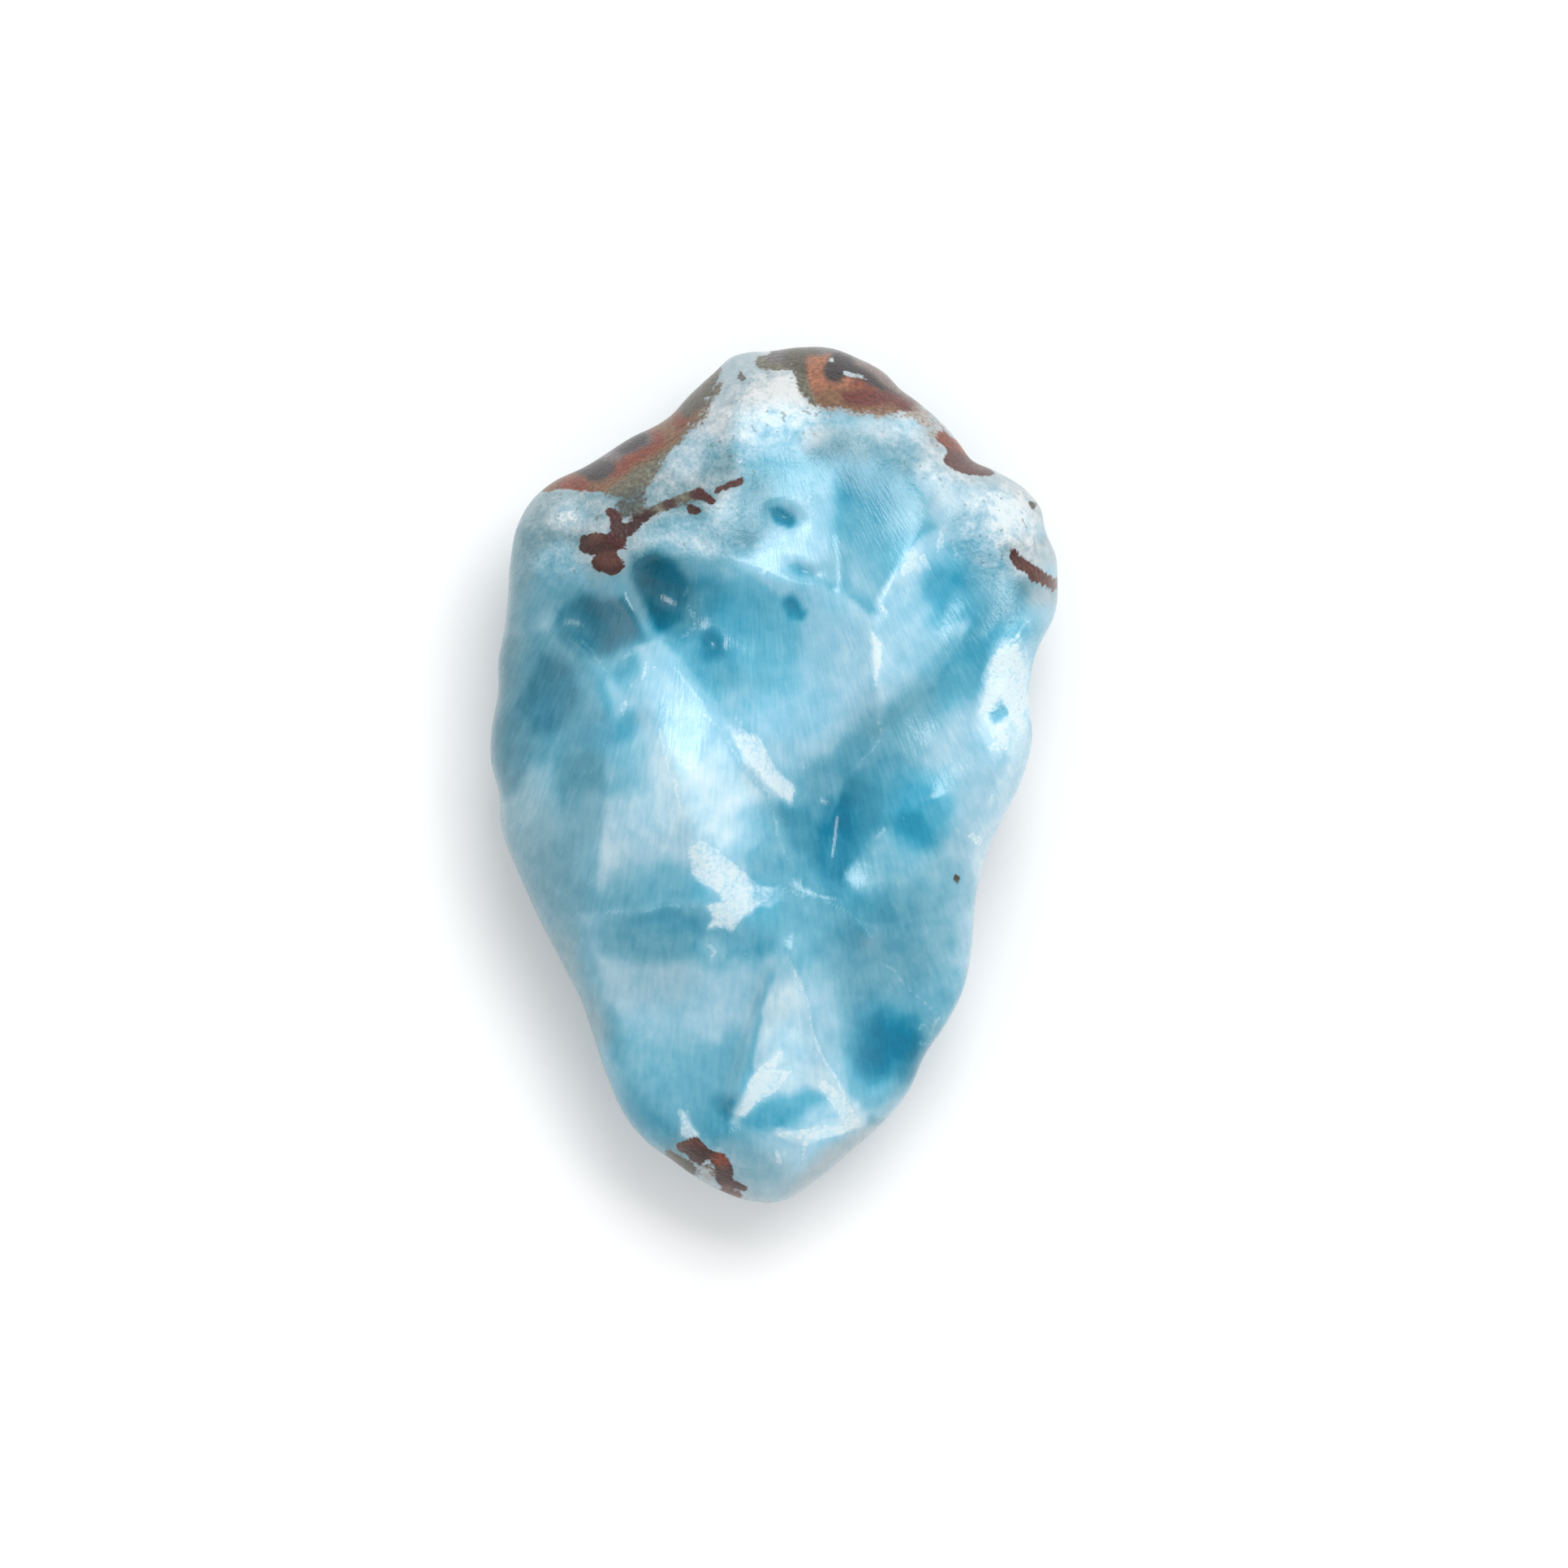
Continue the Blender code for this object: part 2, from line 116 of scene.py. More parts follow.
def outline_radius(theta):
    points = np.array(OUTLINE)
    angles = np.mod(np.arctan2(points[:, 1], points[:, 0]), 2 * math.pi)
    return ring_curve(angles, np.hypot(points[:, 0], points[:, 1]), theta)


def edge_height(theta, column):
    stations = np.array(EDGE_STATIONS, float)
    return ring_curve(np.radians(stations[:, 0]), stations[:, column], theta)


print("widest line:", len(OUTLINE), "points,", len(EDGE_STATIONS), "edge stations")

# %% [markdown]
# Broken rock is made of scars: shallow scoops that meet in sharp creases. A skin stretched
# over the creases gives that form by itself. Each crease is a line with heights, the skin
# settles between them like a soap film, and it sags where a scoop presses on it. Noise
# displacement alone would look like putty, and modelling each scar by hand would take days.

# %% Creases, scoops and pits of the broken top
CREASES = {
    "hump ridge": [
        (-7.2, 8.0, 16.0), (-5.7, 6.4, 16.8), (-4.2, 4.5, 17.3), (-3.0, 2.5, 17.4),
        (-2.0, 1.2, 17.0), (-1.0, 0.0, 16.5), (-0.2, -1.0, 15.9), (0.6, -4.8, 14.6)],
    "hump crest": [
        (-7.6, 5.6, 16.7), (-7.0, 3.5, 17.8), (-6.3, 1.5, 18.4), (-5.5, 0.0, 18.6),
        (-5.0, -2.0, 18.2), (-4.6, -4.0, 17.3), (-3.3, -6.0, 16.2), (-2.4, -8.0, 15.0)],
    "hump foot": [(-11.8, -8.2, 12.9), (-10.0, -8.0, 13.9), (-7.0, -7.6, 15.0), (-4.0, -7.3, 15.8)],
    "foot valley": [
        (-12.2, -10.2, 11.8), (-9.6, -10.5, 12.9), (-7.0, -10.3, 13.4), (-4.0, -10.0, 13.8),
        (-1.6, -9.8, 14.2)],
    "left scar upper edge": [
        (-13.0, 8.4, 13.6), (-11.2, 7.1, 14.9), (-10.2, 5.6, 15.5), (-9.6, 3.6, 16.1)],
    "left rim": [
        (-13.0, 8.4, 13.6), (-14.3, 6.2, 12.8), (-15.1, 4.0, 12.2), (-15.5, 1.6, 11.8)],
    "central basin floor": [
        (-2.6, 8.3, 14.0), (-0.4, 6.2, 13.4), (1.2, 3.6, 13.0), (2.2, 0.6, 12.5),
        (2.6, -1.6, 12.3)],
    "basin ridge": [
        (8.1, 13.4, 15.6), (6.2, 9.8, 15.8), (5.8, 8.0, 15.7), (6.0, 5.0, 14.8),
        (6.3, 2.3, 13.0)],
    "long valley": [
        (12.9, 9.0, 13.8), (11.0, 7.3, 13.5), (9.9, 6.0, 13.2), (8.0, 4.1, 12.9),
        (6.3, 2.3, 12.7), (4.6, 0.2, 12.3), (3.7, -2.4, 12.0), (3.3, -4.8, 12.6),
        (3.0, -6.3, 13.6)],
    "right lobe ridge": [
        (15.0, 9.6, 14.4), (14.2, 7.6, 15.0), (13.4, 5.0, 15.7), (13.0, 2.2, 15.5),
        (12.2, -1.0, 15.0), (11.2, -4.0, 14.2), (10.6, -7.0, 13.3)],
    "right lobe foot": [(5.9, -2.6, 13.4), (7.6, -2.2, 14.2), (9.4, -1.4, 14.6)],
    "ledge lip": [
        (-9.0, 10.6, 15.2), (-8.0, 12.6, 15.6), (-5.4, 12.9, 15.8), (-2.5, 12.5, 15.8),
        (0.4, 11.2, 15.6), (2.6, 11.0, 15.2)],
    "hollow rib": [(-9.0, 10.6, 15.2), (-8.1, 9.4, 15.4), (-7.2, 8.0, 16.0)],
    "flute line": [(3.5, 17.3, 14.7), (3.6, 14.0, 14.2), (3.8, 11.2, 14.4)],
    "flute edge": [(8.3, 16.4, 15.4), (9.1, 14.9, 15.3), (8.1, 13.4, 15.6)],
    "crack step": [
        (0.3, -6.5, 14.5), (2.3, -6.9, 14.5), (3.2, -7.1, 14.4), (4.2, -7.7, 14.3),
        (5.5, -9.4, 13.7)],
    "lower facet left edge": [
        (-9.6, -11.2, 12.8), (-10.1, -14.0, 12.2), (-9.4, -16.5, 11.7), (-8.4, -18.7, 11.1)],
    "wedge foot": [
        (-0.6, -11.2, 14.3), (-1.2, -13.0, 13.5), (-1.9, -15.0, 12.9), (-2.5, -17.0, 12.3),
        (-2.9, -19.3, 11.5)],
    "wedge left edge": [
        (0.9, -10.1, 14.9), (-0.2, -11.8, 14.8), (-0.7, -13.0, 14.6), (-1.2, -15.0, 14.3),
        (-1.7, -17.0, 13.8), (-2.0, -18.8, 13.0)],
    "wedge right edge": [
        (0.9, -10.1, 14.9), (1.6, -11.5, 14.8), (2.1, -14.0, 14.5), (2.9, -16.8, 13.8),
        (4.2, -18.8, 12.9), (5.1, -20.1, 12.0)],
    "tip crest": [(-1.6, -21.4, 12.0), (1.6, -21.3, 12.5), (4.0, -20.9, 12.1)],
    "crust crest": [(-10.6, 14.6, 14.8), (-6.0, 17.4, 15.2), (-2.2, 20.8, 14.9), (0.9, 22.6, 14.5)],
    "right crust crest": [(5.6, 20.6, 14.9), (9.2, 18.4, 14.9), (12.6, 15.6, 15.0), (14.2, 13.0, 14.7)],
}
# x, y, half widths, turn, depth; a negative depth is a swell
SCOOPS = [
    (-12.6, 4.2, 2.2, 3.4, 10, 0.7), (-10.4, 8.6, 2.0, 1.5, 0, 1.2), (-6.4, 10.6, 1.9, 2.1, 0, 1.5),
    (-1.2, 7.0, 4.2, 3.6, -30, 1.0), (2.8, 5.0, 2.8, 4.6, -10, 0.7), (8.9, 8.2, 2.4, 3.8, -40, 0.8),
    (10.4, 11.6, 2.2, 2.0, 0, 0.6), (10.8, 4.0, 1.8, 3.2, -35, 0.5), (-6.4, -14.6, 3.0, 4.4, 0, 0.6),
    (6.6, -15.0, 2.8, 3.4, -15, 1.5), (6.6, -9.8, 3.4, 2.2, 0, 0.5), (-12.2, -4.0, 2.4, 4.0, 0, -0.5),
    (-4.2, 0.6, 1.4, 4.4, -20, -0.4), (0.9, -18.8, 2.2, 2.2, 0, -0.4), (0.4, -23.2, 2.4, 1.4, 0, -0.5),
]
PITS = [
    (0.55, 15.0, 0.85, 0.5, -20, 0.9), (1.7, 11.8, 0.9, 0.4, -20, 0.7),
    (1.1, 9.7, 0.4, 0.6, 20, 0.5), (-3.6, 7.5, 0.5, 0.7, 20, 0.6),
    (-1.8, 13.3, 0.7, 0.5, 0, 0.4), (-7.9, 2.9, 0.8, 0.5, 30, 0.5),
    (13.0, 3.6, 0.7, 0.5, 45, 0.5), (-2.7, -19.7, 0.8, 0.7, 0, 0.6),
]
GRID_STEP = 0.2
SKIN_SWEEPS = 1000
SKIN_PULL = 1.9
CREASE_WIDTH = 0.17
WEAR_PASSES = 4


def ellipse_reach(x, y, patch):
    """Squared distance from a turned ellipse's centre, 1 on its edge."""
    cx, cy, half_x, half_y, turn = patch[:5]
    c = math.cos(math.radians(turn))
    s = math.sin(math.radians(turn))
    along = ((x - cx) * c + (y - cy) * s) / half_x
    across = ((y - cy) * c - (x - cx) * s) / half_y
    return along * along + across * across


def neighbour_mean(h):
    return (np.roll(h, 1, 0) + np.roll(h, -1, 0) + np.roll(h, 1, 1) + np.roll(h, -1, 1)) / 4


def stretch_skin():
    """Heights on a square grid: held at the brow and the creases, free in between."""
    xs = np.arange(-WIDTH / 2 - 1, WIDTH / 2 + 1, GRID_STEP)
    ys = np.arange(-LENGTH / 2 - 1, LENGTH / 2 + 1, GRID_STEP)
    gx, gy = np.meshgrid(xs, ys, indexing="ij")
    theta = np.arctan2(gy, gx)
    h = edge_height(theta, 2)
    held = np.hypot(gx, gy) > outline_radius(theta)
    for points in CREASES.values():
        for (ax, ay, az), (bx, by, bz) in zip(points[:-1], points[1:]):
            run = (bx - ax) ** 2 + (by - ay) ** 2
            t = np.clip(((gx - ax) * (bx - ax) + (gy - ay) * (by - ay)) / run, 0, 1)
            near = np.hypot(gx - ax - t * (bx - ax), gy - ay - t * (by - ay)) < CREASE_WIDTH
            h[near] = (az + t * (bz - az))[near]
            held |= near
    load = np.zeros_like(gx)
    for patch in SCOOPS:
        a, b, depth = patch[2], patch[3], patch[5]
        load += 2 * depth * (a * a + b * b) / (a * a * b * b) * np.exp(-ellipse_reach(gx, gy, patch) ** 2)
    sag = load * GRID_STEP ** 2 / 4
    i, j = np.indices(h.shape)
    inside = (i > 0) & (j > 0) & (i < h.shape[0] - 1) & (j < h.shape[1] - 1)
    free = [inside & ~held & ((i + j) % 2 == colour) for colour in (0, 1)]
    for sweep in range(SKIN_SWEEPS * 2):
        cells = free[sweep % 2]
        h[cells] += SKIN_PULL * (neighbour_mean(h) - sag - h)[cells]
    for _ in range(WEAR_PASSES):
        h[inside] = ((h + neighbour_mean(h)) / 2)[inside]
    return xs, ys, h


def read_grid(xs, ys, h, x, y):
    u = (x - xs[0]) / GRID_STEP
    v = (y - ys[0]) / GRID_STEP
    i = np.clip(u.astype(int), 0, len(xs) - 2)
    j = np.clip(v.astype(int), 0, len(ys) - 2)
    a = u - i
    b = v - j
    near = h[i, j] * (1 - b) + h[i, j + 1] * b
    far = h[i + 1, j] * (1 - b) + h[i + 1, j + 1] * b
    return near * (1 - a) + far * a


skin = stretch_skin()
print("skin heights:", round(float(skin[2].min()), 2), "to", round(float(skin[2].max()), 2), "mm")

# %% [markdown]
# The crust at the wide end is crumbly where the scars are smooth. Crumbs are noise of three
# sizes, kept inside listed patches, and the scars only get a faint ripple.

# %% Crumbs and ripples
CRUSTS = [
    (-11.5, 14.5, 4.0, 3.0, 30, 0.30), (-5.0, 17.5, 6.0, 3.6, 40, 0.32),
    (0.5, 21.5, 4.5, 3.2, 0, 0.30), (8.5, 19.2, 4.5, 2.2, -35, 0.26),
    (13.4, 14.4, 3.0, 3.4, -20, 0.32), (13.8, 5.4, 1.4, 4.0, 0, 0.22),
    (-4.0, 13.8, 4.0, 1.4, 0, 0.24), (-3.6, -23.0, 2.4, 1.6, -35, 0.24),
]
CRUMB_SIZE = 2.3
SWELL_SIZE = 11.0
SWELL_HEIGHT = 0.25
FINE_CRUMBS = [(0.95, 0.30), (0.45, 0.13)]     # size, share of the patch's height
RIPPLES = [(3.1, 0.035), (1.1, 0.012)]         # size, height


def crumbs(x, y, size, seed):
    """Smooth noise from about -1 to 1, for lumps of about the given size."""
    values = [noise.noise(Vector((a / size, b / size, seed))) for a, b in zip(x, y)]
    return np.array(values) * 1.6


def crust_cover(x, y):
    cover = np.zeros_like(x)
    for patch in CRUSTS:
        cover = np.maximum(cover, patch[5] * np.exp(-ellipse_reach(x, y, patch) ** 2))
    return cover


def top_height(x, y):
    z = read_grid(*skin, x, y)
    z -= sum(patch[5] * np.exp(-ellipse_reach(x, y, patch)) for patch in PITS)
    cover = crust_cover(x, y)
    z += cover * crumbs(x, y, CRUMB_SIZE, 3.7) + SWELL_HEIGHT * crumbs(x, y, SWELL_SIZE, 8.2)
    for k, (size, share) in enumerate(FINE_CRUMBS):
        z += cover * share * crumbs(x, y, size, 11.3 + k)
    for k, (size, height) in enumerate(RIPPLES):
        z += height * crumbs(x, y, size, 21.9 + k)
    return z


# %% [markdown]
# Under the widest line the stone is rounded, with old flake scars. Each scar is the mark of
# a ball pressed into the flank: points inside the ball are pushed back to its surface. The
# base is levelled to the flat facet that the stone rests on.

# %% Flanks, underside and resting facet
REST_CUT = 1.1
REST_ROUNDING = 0.15
TOP_POWER = 3.4
UNDER_POWER = 2.5
EDGE_POLAR = 0.56
# compass angle, share of the way out, height, angle below the horizon, radius, bite
SCARS = [
    (10, 0.93, 3.6, 22, 20, 1.3), (52, 0.86, 2.2, 44, 12, 1.3), (98, 0.92, 3.2, 26, 24, 1.1),
    (140, 0.88, 2.6, 36, 15, 1.5), (176, 0.94, 3.2, 18, 28, 1.0), (205, 0.84, 1.6, 50, 10, 1.0),
    (238, 0.92, 3.0, 28, 20, 1.3), (282, 0.84, 2.0, 46, 14, 1.3), (318, 0.92, 3.4, 24, 22, 1.2),
    (348, 0.74, 0.6, 68, 14, 0.8), (160, 0.62, 0.0, 80, 16, 0.7), (256, 0.60, 0.0, 78, 12, 0.7),
    (75, 0.60, 0.0, 80, 11, 0.6),
]
SCAR_ROUNDING = 0.25
SCAR_FADE = 2.0


def shoulder(power, radius, rise, share):
    """Superellipse from the middle of the stone to its edge, walked at an even pace."""
    reach = np.sin(np.linspace(0, math.pi / 2, 4000))
    drop = 1 - (1 - reach ** power) ** (1 / power)
    path = np.concatenate([[0], np.cumsum(np.hypot(np.diff(reach) * radius, np.diff(drop) * rise))])
    share = share * path[-1]
    return np.interp(share, path, reach), np.interp(share, path, drop)


def positive_part(value, rounding):
    """Values below zero become exactly zero, with a short rounding where they meet it."""
    bent = (value + rounding) ** 2 / (4 * rounding)
    return np.where(value > rounding, value, np.where(value < -rounding, 0.0, bent))


def cut_scars(points, rim):
    for compass, reach, height, below, radius, bite in SCARS:
        a = math.radians(compass)
        b = math.radians(below)
        out = reach * outline_radius(np.array([a]))[0]
        facing = np.array([math.cos(a) * math.cos(b), math.sin(a) * math.cos(b), -math.sin(b)])
        centre = np.array([out * math.cos(a), out * math.sin(a), height]) + facing * (radius - bite)
        arm = points - centre
        length = np.linalg.norm(arm, axis=1)
        fade = np.clip((rim - points[:, 2]) / SCAR_FADE, 0, 1)
        push = positive_part(radius - length, SCAR_ROUNDING) * fade
        points = points + arm * (push / length)[:, None]
    return points


# %% [markdown]
# Now the ball. A cube that is finely divided and blown up has points at an even spacing all
# over and no poles, which suits a stone better than a globe with its crowded ends.

# %% Lay the ball over the stone
SEGMENTS = 128


def ball_from_cube():
    bm = bmesh.new()
    bmesh.ops.create_cube(bm, size=2.0)
    bmesh.ops.subdivide_edges(bm, edges=bm.edges[:], cuts=SEGMENTS - 1, use_grid_fill=True)
    mesh = bpy.data.meshes.new("larimar")
    bm.to_mesh(mesh)
    bm.free()
    flat = np.empty(len(mesh.vertices) * 3, np.float32)
    mesh.vertices.foreach_get("co", flat)
    ball = np.tan(flat.reshape(-1, 3).astype(float) * math.pi / 4)
    return mesh, ball / np.linalg.norm(ball, axis=1, keepdims=True)


def stone_points(directions):
    polar = np.arccos(np.clip(directions[:, 2], -1, 1)) / math.pi
    theta = np.arctan2(directions[:, 1] * LENGTH, directions[:, 0] * WIDTH)
    radius = outline_radius(theta)
    rim = edge_height(theta, 1)
    top = polar <= EDGE_POLAR
    share = np.where(top, polar / EDGE_POLAR, (1 - polar) / (1 - EDGE_POLAR))
    top_reach, drop = shoulder(TOP_POWER, WIDTH / 2, THICKNESS / 2, share)
    under_reach, lift = shoulder(UNDER_POWER, WIDTH / 2, THICKNESS / 2, share)
    reach = np.where(top, top_reach, under_reach) * radius
    x = reach * np.cos(theta)
    y = reach * np.sin(theta)
    upper = top_height(x, y)
    upper += (rim - upper) * drop
    under = rim * lift + (crumbs(x, y, SWELL_SIZE / 2, 1.3) * 0.7 - REST_CUT) * (1 - lift)
    points = cut_scars(np.stack([x, y, np.where(top, upper, under)], axis=1), rim)
    points[:, 2] = positive_part(points[:, 2], REST_ROUNDING)
    low = points.min(axis=0)
    high = points.max(axis=0)
    return LOW + (points - low) / (high - low) * (HIGH - LOW)


mesh, directions = ball_from_cube()
points = stone_points(directions)
mesh.vertices.foreach_set("co", (points * MM).astype(np.float32).ravel())
mesh.update()
mesh.shade_smooth()
stone = bpy.data.objects.new("larimar", mesh)
bpy.context.scene.collection.objects.link(stone)
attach(stone, "root")
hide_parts(STONE)
print("fine surface:", len(mesh.vertices), "points,", len(mesh.polygons), "faces")

# %% [markdown]
# The colour of larimar comes from its depth. Clear copper-blue pectolite looks deep blue
# where it is thick, and turns white where tiny cavities and cracks fill it with milk. One
# number says how milky each point is, and another how grey or teal its blue is. Both are
# painted over the facets as a painter would: a ground value for each facet, then
# soft strokes inside it. Colour noise alone would miss the facets, and a photograph
# projected on the stone would freeze its light and shade.
# Some strokes also paint light and shade: painted highlights where the lamps glint, painted shade on a
# few faces that turn from the lamp, and a painted reflection along the grey left rim.

# %% Strokes
WANDER = [(1.9, 0.22), (0.6, 0.09)]            # size, reach of the waver in each stroke's edge


def lattice_noise(x, y, size, seed):
    """Smooth noise from -1 to 1, for patches of about the given size."""
    u = x / size + 17.3 * seed
    v = y / size - 9.1 * seed
    i = np.floor(u)
    j = np.floor(v)
    a = u - i
    b = v - j
    a = a * a * a * (a * (6 * a - 15) + 10)
    b = b * b * b * (b * (6 * b - 15) + 10)
    rows = []
    for m in (0, 1):
        corners = [np.sin(12.9898 * (i + m) + 78.233 * (j + n) + seed) * 43758.5453 for n in (0, 1)]
        corners = [2 * (c - np.floor(c)) - 1 for c in corners]
        rows.append(corners[0] * (1 - b) + corners[1] * b)
    return rows[0] * (1 - a) + rows[1] * a


def line_reach(x, y, line):
    """Distance past the edge of a line given as (x, y, half width)."""
    reach = np.full(x.shape, 99.0)
    if len(line) == 1:
        line = line * 2
    for (ax, ay, aw), (bx, by, bw) in zip(line[:-1], line[1:]):
        run = max((bx - ax) ** 2 + (by - ay) ** 2, 1e-9)
        t = np.clip(((x - ax) * (bx - ax) + (y - ay) * (by - ay)) / run, 0, 1)
        gap = np.hypot(x - ax - t * (bx - ax), y - ay - t * (by - ay))
        reach = np.minimum(reach, gap - aw - t * (bw - aw))
    return reach


def area_reach(x, y, area):
    """Distance outside a closed area, below zero inside it."""
    reach = line_reach(x, y, [(px, py, 0.0) for px, py in area + area[:1]])
    inside = np.zeros(x.shape, bool)
    for (ax, ay), (bx, by) in zip(area, area[1:] + area[:1]):
        if ay != by:
            inside ^= ((ay > y) != (by > y)) & (x < ax + (y - ay) * (bx - ax) / (by - ay))
    return np.where(inside, -reach, reach)


def shape_reach(x, y, shape):
    return line_reach(x, y, shape) if len(shape[0]) == 3 else area_reach(x, y, shape)


def brush(x, y, shape, softness):
    """How much of a stroke lies at each point, 0 to 1. Areas fade across their edge."""
    middle = 1.0 if len(shape[0]) == 3 else 0.5
    t = np.clip(middle - shape_reach(x, y, shape) / softness, 0, 1)
    return t * t * (3 - 2 * t)


def lay(field, x, y, strokes):
    for value, strength, softness, shape in strokes:
        field = field + (value - field) * strength * brush(x, y, shape, softness)
    return field


def wander(x, y):
    u, v = x, y
    for k, (size, reach) in enumerate(WANDER):
        u = u + reach * lattice_noise(x, y, size, 3.1 + k)
        v = v + reach * lattice_noise(x, y, size, 7.7 + k)
    return u, v

